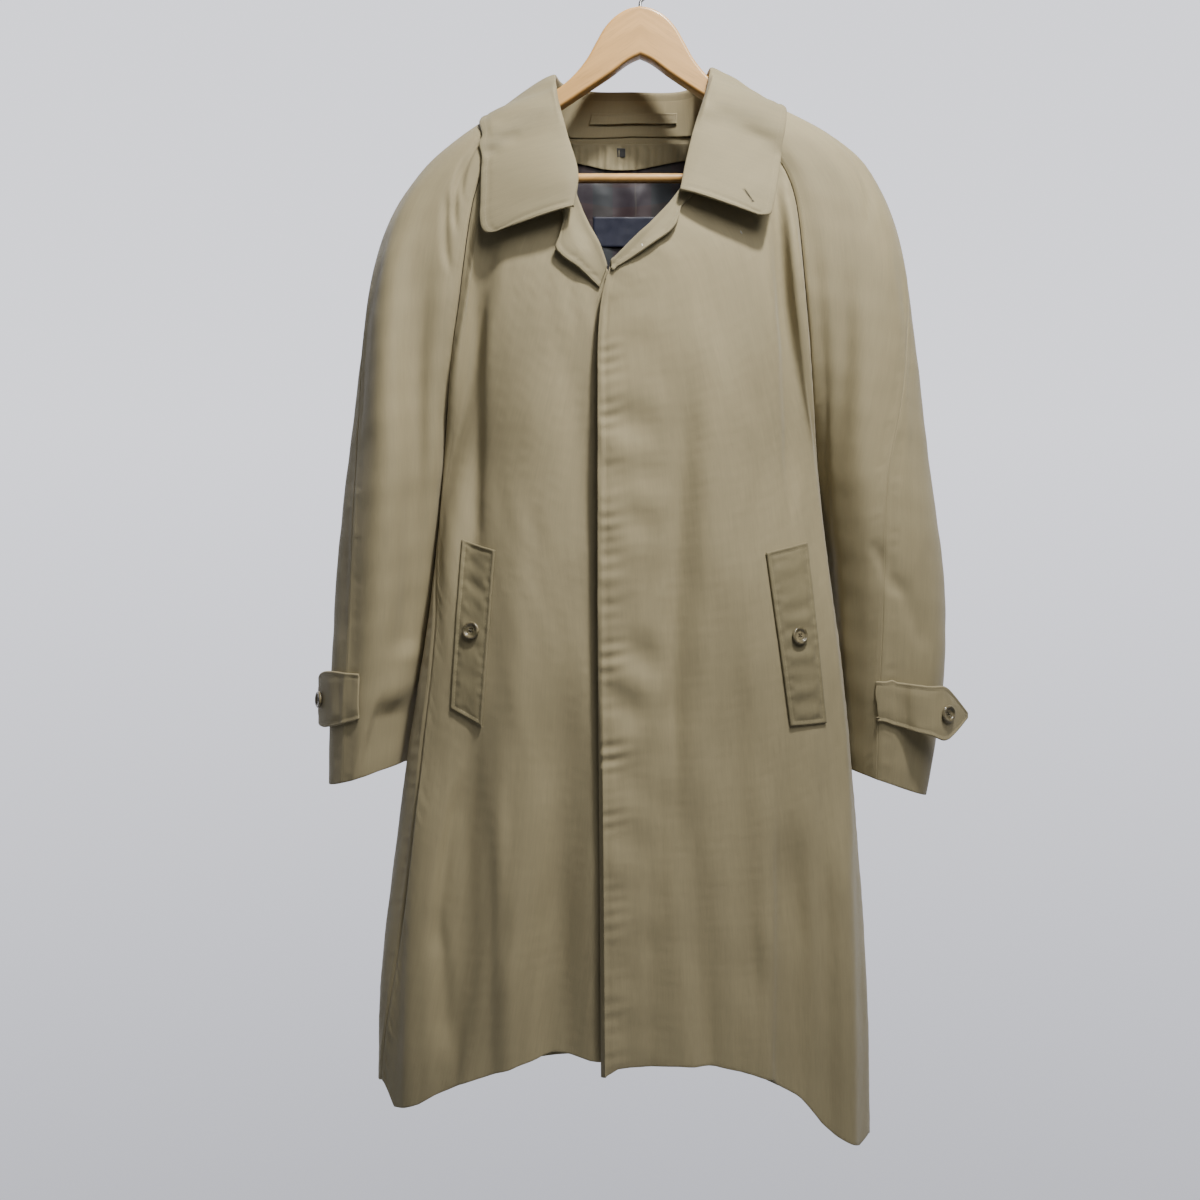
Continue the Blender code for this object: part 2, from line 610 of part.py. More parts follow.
def grid_faces(points):
    """The two triangles of every cell of a grid, cut along the cell's shorter diagonal."""
    rows, columns = points.shape[:2]
    faces = []
    for row, column in np.ndindex(rows - 1, columns - 1):
        first = row * columns + column
        ring = (first, first + 1, first + columns + 1, first + columns)
        falling = np.linalg.norm(points[row, column] - points[row + 1, column + 1])
        rising = np.linalg.norm(points[row, column + 1] - points[row + 1, column])
        turn = 0 if falling <= rising else 1
        faces.append((ring[turn], ring[turn + 1], ring[(turn + 2) % 4]))
        faces.append((ring[turn], ring[(turn + 2) % 4], ring[(turn + 3) % 4]))
    return faces


def wall(name, outer, inner, finish, collection):
    """A closed wall between two grids of points: a loft with its four edges."""
    rows, columns = outer.shape[:2]
    front = np.arange(rows * columns).reshape(rows, columns)
    back = front + rows * columns
    faces = grid_faces(outer)
    faces += [tuple(corner + rows * columns for corner in reversed(face)) for face in faces]
    rim = [(row, 0) for row in range(rows)] + [(rows - 1, column) for column in range(1, columns)]
    rim += [(row, columns - 1) for row in range(rows - 2, -1, -1)]
    rim += [(0, column) for column in range(columns - 2, 0, -1)]
    for spot, following in zip(rim, rim[1:] + rim[:1]):
        faces.append([int(front[spot]), int(front[following]), int(back[following]), int(back[spot])])
    points = np.concatenate([outer.reshape(-1, 3), inner.reshape(-1, 3)]) * MM
    mesh = bpy.data.meshes.new(name)
    mesh.from_pydata(points.tolist(), [], faces)
    shape = bmesh.new()
    shape.from_mesh(mesh)
    bmesh.ops.recalc_face_normals(shape, faces=shape.faces)
    shape.to_mesh(mesh)
    shape.free()
    return placed(name, mesh, finish, collection)


def placed(name, data, finish, collection):
    """An object of a mesh or curve, with its own finish, in the coat's collection."""
    thing = bpy.data.objects.new(name, data)
    collection.objects.link(thing)
    data.materials.append(material(finish, name))
    return thing


def material(finish, name):
    """A Principled material for one piece."""
    colour, roughness, metallic = FINISHES[finish]
    made = bpy.data.materials.new(name + "_" + finish)
    made.use_nodes = True
    shader = made.node_tree.nodes["Principled BSDF"]
    shader.inputs["Base Color"].default_value = (*colour, 1.0)
    shader.inputs["Roughness"].default_value = roughness
    shader.inputs["Metallic"].default_value = metallic
    return made


class Surface:
    """Faceted cloth that other pieces lie on: it finds the place on it for a point."""

    def __init__(self, grids):
        """Gather the quads of some grids of points, each with the way it faces, into one tree."""
        corners = []
        faces = []
        for points, facing in grids:
            normal = np.cross(np.gradient(points, axis=1), np.gradient(points, axis=0))
            turn = 1 if np.sum(normal * np.array(facing)) > 0 else -1
            faces += [tuple(corner + len(corners) for corner in face[::turn]) for face in grid_faces(points)]
            corners += points.reshape(-1, 3).tolist()
        self.tree = BVHTree.FromPolygons(corners, faces)

    def seen_from_front(self, x, z):
        """The point of the cloth at x and z that a straight look along +Y meets first."""
        start = Vector((float(x), -400.0, float(z)))
        spot = self.tree.ray_cast(start, Vector((0.0, 1.0, 0.0)))[0]
        if spot is None:
            near = self.tree.find_nearest(Vector((float(x), -90.0, float(z))))[0]
            spot = Vector((float(x), near.y, float(z)))
        return np.array(spot)

    def seated(self, points):
        """The nearest places on the cloth to a grid of points."""
        spots = [self.tree.find_nearest(Vector(point))[0] for point in points.reshape(-1, 3)]
        return np.array(spots).reshape(points.shape)

    def push(self, point, distance):
        """The step along the cloth's normal that brings a point out to the distance from it."""
        near, normal, face, gap = self.tree.find_nearest(Vector(point))
        height = float(np.dot(point - np.array(near), np.array(normal)))
        if height < distance and gap < 40.0:
            return np.array(normal) * (distance - height)
        return np.zeros(3)

    def cleared(self, points, distance):
        """Points moved out until they and the middles of their cells are the distance from the cloth."""
        clear = points.copy()
        for attempt in range(3):
            for spot in np.ndindex(points.shape[:2]):
                clear[spot] += self.push(clear[spot], distance)
            for row, column in np.ndindex(points.shape[0] - 1, points.shape[1] - 1):
                cell = clear[row:row + 2, column:column + 2]
                cell += self.push(cell.mean(axis=(0, 1)), distance)
        return clear


def laid(surface, x, z):
    """A grid of points on a surface, from grids of their x and z."""
    spots = [surface.seen_from_front(*pair) for pair in zip(x.ravel(), z.ravel())]
    return np.array(spots).reshape(*x.shape, 3)


def patch(name, points, facing, lift, thickness, finish, collection):
    """A piece of cloth made from the points under it, lifted the given way by its lift."""
    normals = grid_normals(points, facing)
    wall(name, points + normals * (lift + thickness), points + normals * lift, finish, collection)


def laid_piece(name, cloth, points, facing, gap, thickness, finish, collection):
    """A piece of cloth that lies on other cloth, clear of it by the gap; returns its outside."""
    lift = gap + thickness
    outer = cloth.cleared(points + grid_normals(points, facing) * lift, lift)
    wall(name, outer, outer - grid_normals(outer, facing) * thickness, finish, collection)
    return outer


def between(first, last, count):
    """Evenly spread grid columns between two edges, as an array with one more axis."""
    part = np.linspace(0.0, 1.0, count)
    return np.asarray(first)[..., None] * (1 - part) + np.asarray(last)[..., None] * part


def panel_grids():
    """The outside of the seven panels of the coat, with the way that each one faces."""
    seam_rows = np.linspace(0.0, 1.0, SEAM_ROWS)
    body_at = np.concatenate([seam_rows, np.linspace(1.0, 2.0, BODY_ROWS + 1)[1:]])[:, None]
    sleeve_at = np.concatenate([seam_rows, np.linspace(1.0, 2.0, SLEEVE_ROWS + 1)[1:]])[:, None]
    front_part = np.array(FRONT_PARTS)[None, :]
    back_part = np.linspace(0.0, 1.0, BACK_COLUMNS)[None, :]
    panels = {}
    for side in ("left", "right"):
        panels["front_" + side] = (front_panel(side, body_at, front_part), (0, -1, 0))
    right_half = back_panel("right", body_at, back_part)
    left_half = back_panel("left", body_at, back_part[:, ::-1])
    panels["back"] = (np.concatenate([right_half, left_half[:, 1:]], axis=1), (0, 1, 0))
    for side in ("left", "right"):
        seam = smooth(SLEEVE_LINE[side], "seam", sleeve_at[:, 0])
        start = between(0 * seam, seam, SLEEVE_FRONT_COLUMNS)
        finish = between(seam, 0 * seam + 2.0, SLEEVE_BACK_COLUMNS)
        lean = 0.3 if side == "left" else -0.3
        panels["sleeve_" + side + "_front"] = (sleeve_surface(side, sleeve_at, start), (0, -1, 0))
        panels["sleeve_" + side + "_back"] = (sleeve_surface(side, sleeve_at, finish), (lean, 1, 0))
    return panels


def build_panels(panels, collection):
    """The walls of the seven panels. Under the arm the sleeves are moved off the body."""
    steps = shared_offsets(panels, SHELL)
    for name, (points, facing) in panels.items():
        if name.startswith("sleeve"):
            lean = 1.0 if "left" in name else -1.0
            points[..., 0] += lean * ARMPIT_GAP * ease(-points[..., 2], 400.0, 520.0)
        outer = drawn_in(points)
        wall(name, outer, outer + steps[name], "shell_twill", collection)


def neck_seam(count):
    """Points along the seam of the collar, from the right gorge round the back to the left one."""
    across = np.linspace(0.0, 1.0, 9)
    pieces = [
        front_surface("right", 0.0, GORGE["right"] * (1 - across)),
        sleeve_surface("right", 0.0, 2 * across),
        back_surface("right", 0.0, across),
        back_surface("left", 0.0, 1 - across),
        sleeve_surface("left", 0.0, 2 * (1 - across)),
        front_surface("left", 0.0, GORGE["left"] * across),
    ]
    path = np.concatenate([piece[:-1] for piece in pieces] + [pieces[-1][-1:]])
    run = np.concatenate([[0.0], np.cumsum(np.linalg.norm(np.diff(path, axis=0), axis=1))])
    where = np.linspace(0.0, run[-1], count)
    return np.stack([np.interp(where, run, path[:, axis]) for axis in range(3)], axis=1)


def stand_surface(rows):
    """The collar stand's outer face: rows from the neck seam up to the roll."""
    first, last = STAND_COLUMNS
    at = np.linspace(0.0, 1.0, COLLAR_COLUMNS)[first:last + 1]
    seam = neck_seam(len(at))
    inward = (NECK_MIDDLE - seam) * np.array((1.0, 1.0, 0.0))
    seam += inward / np.linalg.norm(inward, axis=1, keepdims=True) * STAND_LIFT
    seam[:, 2] += STAND_LIFT
    part = np.linspace(0.0, 1.0, rows)[:, None, None]
    return seam * (1 - part) + point_on(ROLL_LINE, at) * part


def leaf_surface(at, roll):
    """The leaf's outside: it leaves the roll level, turns over and falls to its outer edge.

    Across, it is a quadratic curve: from the roll, past a point straight out from it, to the edge. In
    front that point lies in line with the edge instead.
    """
    front = (1 - ease(at, 0.12, 0.26)) + ease(at, 0.74, 0.88)
    edge = point_on(LEAF_EDGE, at)
    out = edge - roll
    out[:, 2] *= front
    out /= np.linalg.norm(out, axis=1, keepdims=True)
    turn = roll + out * (ROLL_TURN + ROLL_SPREAD * front)[:, None]
    turn[:, 1] -= LEAF_SWELL * front
    across = np.array(LEAF_ACROSS)[:, None, None]
    return (1 - across) ** 2 * roll + 2 * across * (1 - across) * turn + across ** 2 * edge


def build_collar(panels, lapels, collection):
    """The stand and the leaf, which rests on the shoulders and the turned-out fronts."""
    upward = (0.0, -0.3, 1.0)
    stand = stand_surface(4)
    inner = stand - grid_normals(stand, upward) * STAND_WALL
    wall("collar_stand", stand, inner, "shell_twill", collection)
    at = np.linspace(0.0, 1.0, COLLAR_COLUMNS)
    roll = point_on(ROLL_LINE, at)
    lift = grid_normals(leaf_surface(at, roll), upward)[0]
    leaf = leaf_surface(at, roll + lift * (COLLAR_WALL + SEAM_GAP))
    under = list(panels.values()) + [(lapel, (0, -1, 0)) for lapel in lapels] + [(stand, upward)]
    leaf[1:] = Surface(under).cleared(leaf[1:], COLLAR_WALL + LEAF_GAP)
    normals = grid_normals(leaf, upward)
    wall("collar_leaf", leaf, leaf - normals * COLLAR_WALL, "facing_twill", collection)


def build_lapels(panels, collection):
    """The turned-out tops of the fronts, laid on the fronts' points."""
    lapels = []
    for side in ("left", "right"):
        lapel = LAPEL[side]
        at = np.linspace(0.0, 1.0, 8)
        x = between(smooth(lapel, "roll_x", at), smooth(lapel, "edge_x", at), 5)
        z = between(smooth(lapel, "roll_z", at), smooth(lapel, "edge_z", at), 5)
        cloth = Surface([panels["front_" + side]])
        lapels.append(laid_piece("facing_" + side, cloth, laid(cloth, x, z), (0, -1, 0), LAY_GAP, FACING_WALL,
                                 "facing_twill", collection))
    return lapels


def build_neck(panels, collection):
    """What shows inside the neck: facing, lining, label, size tab and hang loop."""
    back = Surface([panels["back"]])
    toward_front = (0, -1, 0)
    x = between(np.full(4, NECK_FACING["right"]), np.full(4, NECK_FACING["left"]), 15)
    foot = NECK_FACING["foot"] + NECK_FACING["wave"] * np.sin((x[0] - 20.0) / 24.0)
    z = between(np.full(15, NECK_FACING["top"]), foot, 4).T
    patch("neck_facing", laid(back, x, z), toward_front, SHELL + LAY_GAP, TRIM_WALL, "facing_twill", collection)
    x = between(np.full(9, LINING["right"]), np.full(9, LINING["left"]), 15)
    z = between(foot - 3 * SEAM_GAP, np.full(15, LINING["foot"]), 9).T
    patch("lining", laid(back, x, z), toward_front, SHELL + LAY_GAP, TRIM_WALL, "lining_cloth", collection)
    stack = SHELL + 2 * LAY_GAP + TRIM_WALL
    for name, sizes, finish in (("neck_label", NECK_LABEL, "label_satin"), ("size_tab", SIZE_TAB, "tab_black")):
        half = np.array((-0.5, 0.5))
        across = sizes["x"] + half * sizes["width"]
        down = sizes["z"] - half * sizes["height"]
        x, z = np.meshgrid(np.linspace(*across, 5), np.linspace(*down, 3))
        patch(name, laid(back, x, z), toward_front, stack, TRIM_WALL, finish, collection)
    build_hang_loop(collection)


def build_hang_loop(collection):
    """A strip of shell cloth sewn across the inside of the stand, its middle standing off a little."""
    stand = stand_surface(HANG_LOOP["rows"])
    first, last = HANG_LOOP["columns"]
    face = stand[HANG_LOOP["top"]:HANG_LOOP["foot"] - 1:-2][:, first:last + 1]
    face = face - np.array((0.0, STAND_WALL + LAY_GAP, 0.0))
    bow = np.sin(np.linspace(0.0, math.pi, last - first + 1)) * HANG_LOOP["bow"]
    inner = face - bow[None, :, None] * np.array((0.0, 1.0, 0.0))
    outer = inner - np.array((0.0, HANG_LOOP["wall"], 0.0))
    wall("hang_loop", outer, inner, "shell_twill", collection)


def build_welts(panels, collection):
    """The pocket welts, on the fronts' points, and their buttons."""
    for side in ("left", "right"):
        cloth = Surface([panels["front_" + side]])
        down = np.linspace(0.0, 1.0, 15)
        middle, level, half, rise = (smooth(WELTS[side], column, down) for column in ("x", "z", "half", "rise"))
        half *= 1.0 if side == "left" else -1.0
        x = between(middle - half, middle + half, 5)
        z = between(level - rise, level + rise, 5)
        outer = laid_piece("pocket_welt_" + side, cloth, laid(cloth, x, z), (0, -1, 0), LAY_GAP, WELT_WALL,
                           "shell_twill", collection)
        way = grid_normals(outer, (0, -1, 0))[7, 2]
        button("pocket_button_" + side, outer[7, 2] + way * SEAM_GAP, way, collection)


def build_tabs(panels, collection):
    """The cuff tabs, clear of the sleeves, and their buttons."""
    for side in ("left", "right"):
        tab = CUFF_TAB[side]
        at = np.linspace(0.0, 1.0, 9)
        path = point_on({**tab, "z": tab["top"]}, at)
        foot = point_on({**tab, "z": tab["foot"]}, at)
        outer = np.moveaxis(between(path.T, foot.T, 4), (0, 2), (2, 0))
        sleeve = Surface([panels["sleeve_" + side + half] for half in ("_front", "_back")])
        facing = np.array((0.6 if side == "left" else -1.0, -0.8, 0.0))
        sewn = sleeve.seated(outer)
        outer = sewn + (outer - sewn) * ease(at, *TAB_FREE)[None, :, None]
        outer = laid_piece("cuff_tab_" + side, sleeve, outer, facing, TAB_GAP, TAB_WALL, "shell_twill",
                           collection)
        normals = grid_normals(outer, facing)
        column = TAB_BUTTON_COLUMN[side]
        spot = (outer[1, column] + outer[2, column]) / 2
        way = normals[1, column] + normals[2, column]
        button("cuff_button_" + side, spot + way / np.linalg.norm(way) * SEAM_GAP, way, collection)


def button(name, seat, way, collection):
    """A turned horn button: a dished face, a rounded rim and a narrower back."""
    radius = BUTTON_DIAMETER / 2
    profile = [(0.0, 0.62), (0.62, 0.62), (0.76, 1.0), (0.92, 0.96), (1.0, 0.62), (0.96, 0.32), (0.72, 0.0),
               (0.0, 0.0)]
    mesh = bpy.data.meshes.new(name)
    points = [(across * radius * MM, 0.0, up * BUTTON_THICKNESS * MM) for across, up in profile]
    mesh.from_pydata(points, [(corner, corner + 1) for corner in range(len(points) - 1)], [])
    thing = placed(name, mesh, "horn_button", collection)
    screw = thing.modifiers.new("turned", "SCREW")
    screw.steps = 20
    screw.render_steps = 20
    screw.use_merge_vertices = True
    screw.merge_threshold = 0.00005
    thing.location = Vector(seat) * MM
    thing.rotation_euler = Vector(way).to_track_quat("Z", "Y").to_euler()


def build_hanger(collection):
    """The shaped board, its bar and its hook."""
    curve = bpy.data.curves.new("hanger_body", "CURVE")
    curve.dimensions = "2D"
    curve.fill_mode = "BOTH"
    curve.extrude = (HANGER_THICKNESS / 2 - HANGER_EDGE) * MM
    curve.bevel_depth = HANGER_EDGE * MM
    curve.bevel_resolution = 1
    curve.offset = -HANGER_EDGE * MM
    x = HANGER_OUTLINE["x"]
    z = HANGER_OUTLINE["z"]
    outline = np.stack([np.concatenate([x, -x[-2:0:-1]]), np.concatenate([z, z[-2:0:-1]])], axis=1)
    spline = curve.splines.new("POLY")
    spline.points.add(len(outline) - 1)
    for point, (across, up) in zip(spline.points, outline):
        point.co = (across * MM, up * MM, 0.0, 1.0)
    spline.use_cyclic_u = True
    board = placed("hanger_body", curve, "beech", collection)
    board.rotation_euler = (math.pi / 2, 0.0, 0.0)
    bpy.ops.mesh.primitive_cylinder_add(vertices=20, radius=BAR_DIAMETER / 2 * MM, depth=2 * BAR_HALF * MM,
                                        location=(0.0, 0.0, BAR_Z * MM), rotation=(0.0, math.pi / 2, 0.0))
    bar = bpy.context.object
    bar.name = "hanger_bar"
    bar.data.materials.append(material("beech", "hanger_bar"))
    for owner in bar.users_collection:
        owner.objects.unlink(bar)
    collection.objects.link(bar)
    build_hook(collection)


def build_hook(collection):
    """A straight stem that bends aside and goes round in a bow whose inside top is the origin."""
    wire = HOOK_WIRE / 2
    middle = HOOK_RADIUS + wire
    turn = np.radians(np.linspace(*HOOK_TURN, 28))
    bow = np.stack([middle * np.cos(turn), 0 * turn, middle * np.sin(turn) - HOOK_RADIUS], axis=1)
    stem = np.array(((0.0, 0.0, HOOK_FOOT), (0.0, 0.0, -51.0), (0.6, 0.0, -48.0), (4.0, 0.0, -44.6)))
    points = np.concatenate([stem, bow])
    curve = bpy.data.curves.new("hanger_hook", "CURVE")
    curve.dimensions = "3D"
    curve.bevel_depth = wire * MM
    curve.bevel_resolution = 2
    curve.use_fill_caps = True
    spline = curve.splines.new("POLY")
    spline.points.add(len(points) - 1)
    for point, place in zip(spline.points, points):
        point.co = (*(place * MM), 1.0)
    placed("hanger_hook", curve, "hook_steel", collection)


def main():
    """Empty the scene and build the coat on its hanger."""
    for thing in list(bpy.data.objects):
        bpy.data.objects.remove(thing, do_unlink=True)
    collection = bpy.data.collections.new("balmacaan_coat")
    bpy.context.scene.collection.children.link(collection)
    panels = panel_grids()
    build_panels(panels, collection)
    lapels = build_lapels(panels, collection)
    build_collar(panels, lapels, collection)
    build_neck(panels, collection)
    build_welts(panels, collection)
    build_tabs(panels, collection)
    build_hanger(collection)


main()
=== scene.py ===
"""Balmacaan coat, buttoned and hung on a wooden hanger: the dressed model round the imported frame.

The frame is the hanger's: the origin is the saddle of the hook, +X runs to the wearer's left, -Y is the
coat's front and +Z is up. Lengths in the tables and in the grids are millimetres; meshes are metres.
Left and right are the wearer's, so the left front laps over the right one.
"""
import logging
import math
from collections.abc import Callable
from dataclasses import dataclass, field
from enum import Enum

import bpy
import numpy as np
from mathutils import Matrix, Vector
from mathutils.bvhtree import BVHTree


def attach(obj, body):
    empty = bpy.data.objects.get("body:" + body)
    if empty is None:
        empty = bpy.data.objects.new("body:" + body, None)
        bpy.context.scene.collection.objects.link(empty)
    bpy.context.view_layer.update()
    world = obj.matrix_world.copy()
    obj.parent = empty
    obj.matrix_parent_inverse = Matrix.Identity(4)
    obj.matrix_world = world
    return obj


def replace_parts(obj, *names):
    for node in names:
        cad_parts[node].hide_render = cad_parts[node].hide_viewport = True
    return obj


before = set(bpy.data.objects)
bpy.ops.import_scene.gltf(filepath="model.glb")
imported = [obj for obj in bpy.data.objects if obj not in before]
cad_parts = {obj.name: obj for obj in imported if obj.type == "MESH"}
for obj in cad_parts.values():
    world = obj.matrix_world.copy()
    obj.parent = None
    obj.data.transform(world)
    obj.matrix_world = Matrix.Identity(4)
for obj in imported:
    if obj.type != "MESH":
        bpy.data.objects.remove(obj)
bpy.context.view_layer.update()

MM = 0.001
Table = dict[str, np.ndarray]
Colour = tuple[float, float, float]
Swell = tuple[float, float, float]      # a soft ridge or groove along an edge: its height, inset and width
LOG = logging.getLogger("coat")


def table(columns: str, *rows: tuple[float, ...]) -> Table:
    """A table with named columns.

    Args:
        columns: The columns' names, with spaces between them.
        rows: A tuple of numbers for each row.

    Returns:
        An array for each column, by its name.
    """
    return dict(zip(columns.split(), np.array(rows, dtype=float).T))


# Driving sizes, in millimetres
SHELL = 1.6             # twill with its backing
LINING_WALL = 0.6       # of the lining behind a panel, where it has one
PANEL_LAP = 0.15        # how far neighbouring panels lap at their seams
RAGLAN_ROWS = 118       # rows from the neck to the armpit, shared by body and sleeves
SEAM_GAP = 0.3          # between pieces that are sewn together
ARMPIT_GAP = 0.8        # between body and sleeve where they meet under the arm
BUTTON_DIAMETER = 17.5
BUTTON_THICKNESS = 3.4
HANGER_THICKNESS = 17.0
HANGER_EDGE = 3.0       # rounding of the hanger's edges
BAR_DIAMETER = 10.0
BAR_Z = -231.5
HOOK_WIRE = 3.6
HOOK_RADIUS = 21.0      # inside radius of the bow
HOOK_TURN = (-62.0, 208.0)      # where the bow starts and ends, in degrees from +X
NECKLINE_DIP = 20.0     # how far the neckline hangs below a straight line
FULLNESS = 2.3          # of the body's section: the power of its superellipse
HEM_REACH = (1.5, 2.0)  # the stations between which the rows take up the hem's shape

# Stations run from 0 at the neck to 1 at the armpit and 2 at the hem or cuff.
# Front raglan seam, then the side seam of the body. wrap goes from 0, an open slope, to 1, a tube.
FRONT_SEAM = {
    "left": table(
        "at x y z wrap",
        (0.00, 84, -42, -188, 0.00),
        (0.10, 118, -42, -205, 0.05),
        (0.19, 143, -43, -228, 0.15),
        (0.28, 155, -47, -262, 0.25),
        (0.40, 160, -50, -308, 0.35),
        (0.53, 165, -48, -360, 0.45),
        (0.69, 171, -38, -418, 0.60),
        (0.84, 177, -21, -474, 0.75),
        (1.00, 183, 0, -530, 0.88),
        (1.12, 188, -6, -600, 0.96),
        (1.28, 200, -14, -695, 1.00),
        (1.45, 210, -16, -805, 1.00),
        (1.65, 223, -14, -930, 1.00),
        (1.85, 233, -10, -1080, 1.00),
        (2.00, 236, -6, -1206, 1.00)),
    "right": table(
        "at x y z wrap",
        (0.00, -100, -42, -194, 0.00),
        (0.10, -133, -42, -207, 0.05),
        (0.19, -156, -44, -228, 0.15),
        (0.28, -168, -47, -260, 0.25),
        (0.40, -175, -50, -306, 0.35),
        (0.53, -182, -48, -358, 0.45),
        (0.69, -189, -38, -418, 0.60),
        (0.84, -195, -21, -474, 0.75),
        (1.00, -201, 0, -530, 0.88),
        (1.12, -208, -6, -600, 0.96),
        (1.28, -219, -14, -695, 1.00),
        (1.45, -236, -16, -805, 1.00),
        (1.65, -252, -14, -930, 1.00),
        (1.85, -268, -10, -1080, 1.00),
        (2.00, -270, -6, -1180, 1.00)),
}
# How far the side seam lies round towards the front edge: 0 on the side, 1 at the edge.
SEAM_FORWARD = {
    "left": table("at part", (0.0, 0.0), (2.0, 0.0)),
    "right": table("at part", (0.0, 0.0), (1.08, 0.0), (1.25, 0.17), (1.45, 0.23), (1.8, 0.22), (2.0, 0.12)),
}
# Back raglan seam, from the neck to the armpit; below it the back shares the side seam.
BACK_SEAM = {
    "left": table(
        "at x y z",
        (0.00, 62, 48, -172),
        (0.10, 92, 50, -190),
        (0.19, 122, 50, -214),
        (0.28, 143, 51, -250),
        (0.40, 153, 52, -302),
        (0.53, 160, 49, -356),
        (0.69, 168, 38, -416),
        (0.84, 176, 21, -473),
        (1.00, 183, 0, -530)),
    "right": table(
        "at x y z",
        (0.00, -74, 48, -174),
        (0.10, -104, 50, -192),
        (0.19, -136, 50, -216),
        (0.28, -158, 51, -252),
        (0.40, -170, 52, -302),
        (0.53, -178, 49, -356),
        (0.69, -187, 38, -416),
        (0.84, -194, 21, -473),
        (1.00, -201, 0, -530)),
}
# Front edges. The left one shows; the right one lies hidden behind the left front.
FRONT_EDGE = {
    "left": table(
        "at x y z",
        (0.00, -32, -89, -345),
        (0.06, -37, -91, -360),
        (0.25, -43, -93, -402),
        (0.50, -44, -97, -452),
        (0.75, -44, -100, -512),
        (1.00, -44, -103, -578),
        (1.25, -44, -106, -708),
        (1.50, -43, -108, -845),
        (1.75, -42, -110, -980),
        (2.00, -41, -111, -1124)),
    "right": table(
        "at x y z",
        (0.00, -4, -81, -390),
        (0.25, 18, -82, -428),
        (0.50, 31, -85, -472),
        (0.75, 35, -88, -524),
        (1.00, 36, -91, -584),
        (1.25, 36, -94, -712),
        (1.50, 36, -96, -847),
        (1.75, 36, -98, -980),
        (2.00, 36, -99, -1116)),
}
BACK_CENTRE = table(
    "at x y z",
    (0.00, -6, 56, -170),
    (0.25, -7, 63, -260),
    (0.50, -7, 68, -350),
    (0.75, -7, 69, -440),
    (1.00, -7, 68, -532),
    (1.25, -7, 67, -680),
    (1.50, -8, 69, -840),
    (1.75, -9, 72, -1000),
    (2.00, -10, 75, -1163))
# Hem height over the part of each row, from the side seam (0) to the front edge or centre back (1).
HEM = {
    "front_left": table(
        "part z",
        (0.0, -1216), (0.02, -1211), (0.07, -1214),
        (0.11, -1208), (0.16, -1199), (0.21, -1186),
        (0.29, -1159), (0.39, -1135), (0.49, -1126),
        (0.60, -1120), (0.72, -1117), (0.94, -1119),
        (1.0, -1127)),
    "front_right": table(
        "part z",
        (0.0, -1162), (0.02, -1158), (0.04, -1165),
        (0.07, -1179), (0.11, -1176), (0.16, -1170),
        (0.21, -1160), (0.29, -1147), (0.39, -1134),
        (0.49, -1122), (0.60, -1110), (0.72, -1115),
        (1.0, -1116)),
    "back_left": table(
        "part z",
        (0.0, -1216), (0.12, -1210), (0.29, -1197),
        (0.53, -1181), (0.75, -1170), (1.0, -1163)),
    "back_right": table(
        "part z",
        (0.0, -1162), (0.12, -1176), (0.3, -1178),
        (0.5, -1173), (0.75, -1167), (1.0, -1163)),
}
# The sleeve: its outer line (the ridge of the shoulder, then the outer side of the arm), the depth of
# its front and back halves, where the overarm seam runs (1 on the outer line, less is nearer the
# front), and turn, how far round its own section the raglan seam has come (0 in front, 1 inside).
SLEEVE_LINE = {
    "left": table(
        "at x y z front back seam turn",
        (0.00, 90, 0, -137, 42, 46, 1.00, 0.00),
        (0.10, 125, 0, -153, 43, 50, 1.00, 0.13),
        (0.19, 163, 0, -170, 45, 54, 1.00, 0.19),
        (0.28, 206, 0, -194, 50, 58, 1.00, 0.22),
        (0.40, 242, 0, -232, 56, 62, 0.98, 0.30),
        (0.53, 264, 0, -286, 60, 64, 0.94, 0.42),
        (0.69, 279, 0, -360, 63, 66, 0.82, 0.60),
        (0.84, 290, 0, -440, 65, 67, 0.66, 0.79),
        (1.00, 299, 0, -528, 66, 68, 0.54, 1.00),
        (1.26, 310, 0, -620, 67, 67, 0.46, 1.00),
        (1.46, 314, 0, -690, 66, 64, 0.43, 1.00),
        (1.67, 311, 0, -760, 62, 60, 0.41, 1.00),
        (1.86, 302, 0, -824, 58, 56, 0.40, 1.00),
        (2.00, 294, 0, -871, 55, 53, 0.40, 1.00)),
    "right": table(
        "at x y z front back seam turn",
        (0.00, -102, 0, -146, 42, 46, 1.00, 0.00),
        (0.10, -133, 0, -159, 43, 50, 1.00, 0.13),
        (0.19, -165, 0, -176, 45, 54, 1.00, 0.19),
        (0.28, -200, 0, -202, 50, 58, 1.00, 0.22),
        (0.40, -238, 0, -240, 56, 62, 0.99, 0.30),
        (0.53, -264, 0, -286, 60, 64, 0.96, 0.42),
        (0.69, -283, 0, -362, 63, 66, 0.90, 0.60),
        (0.84, -292, 0, -442, 65, 67, 0.84, 0.79),
        (1.00, -302, 0, -530, 66, 68, 0.78, 1.00),
        (1.17, -308, 0, -589, 67, 67, 0.74, 1.00),
        (1.50, -315, 0, -695, 64, 62, 0.70, 1.00),
        (1.83, -319, 0, -800, 58, 56, 0.69, 1.00),
        (2.00, -320, 0, -860, 55, 53, 0.69, 1.00)),
}
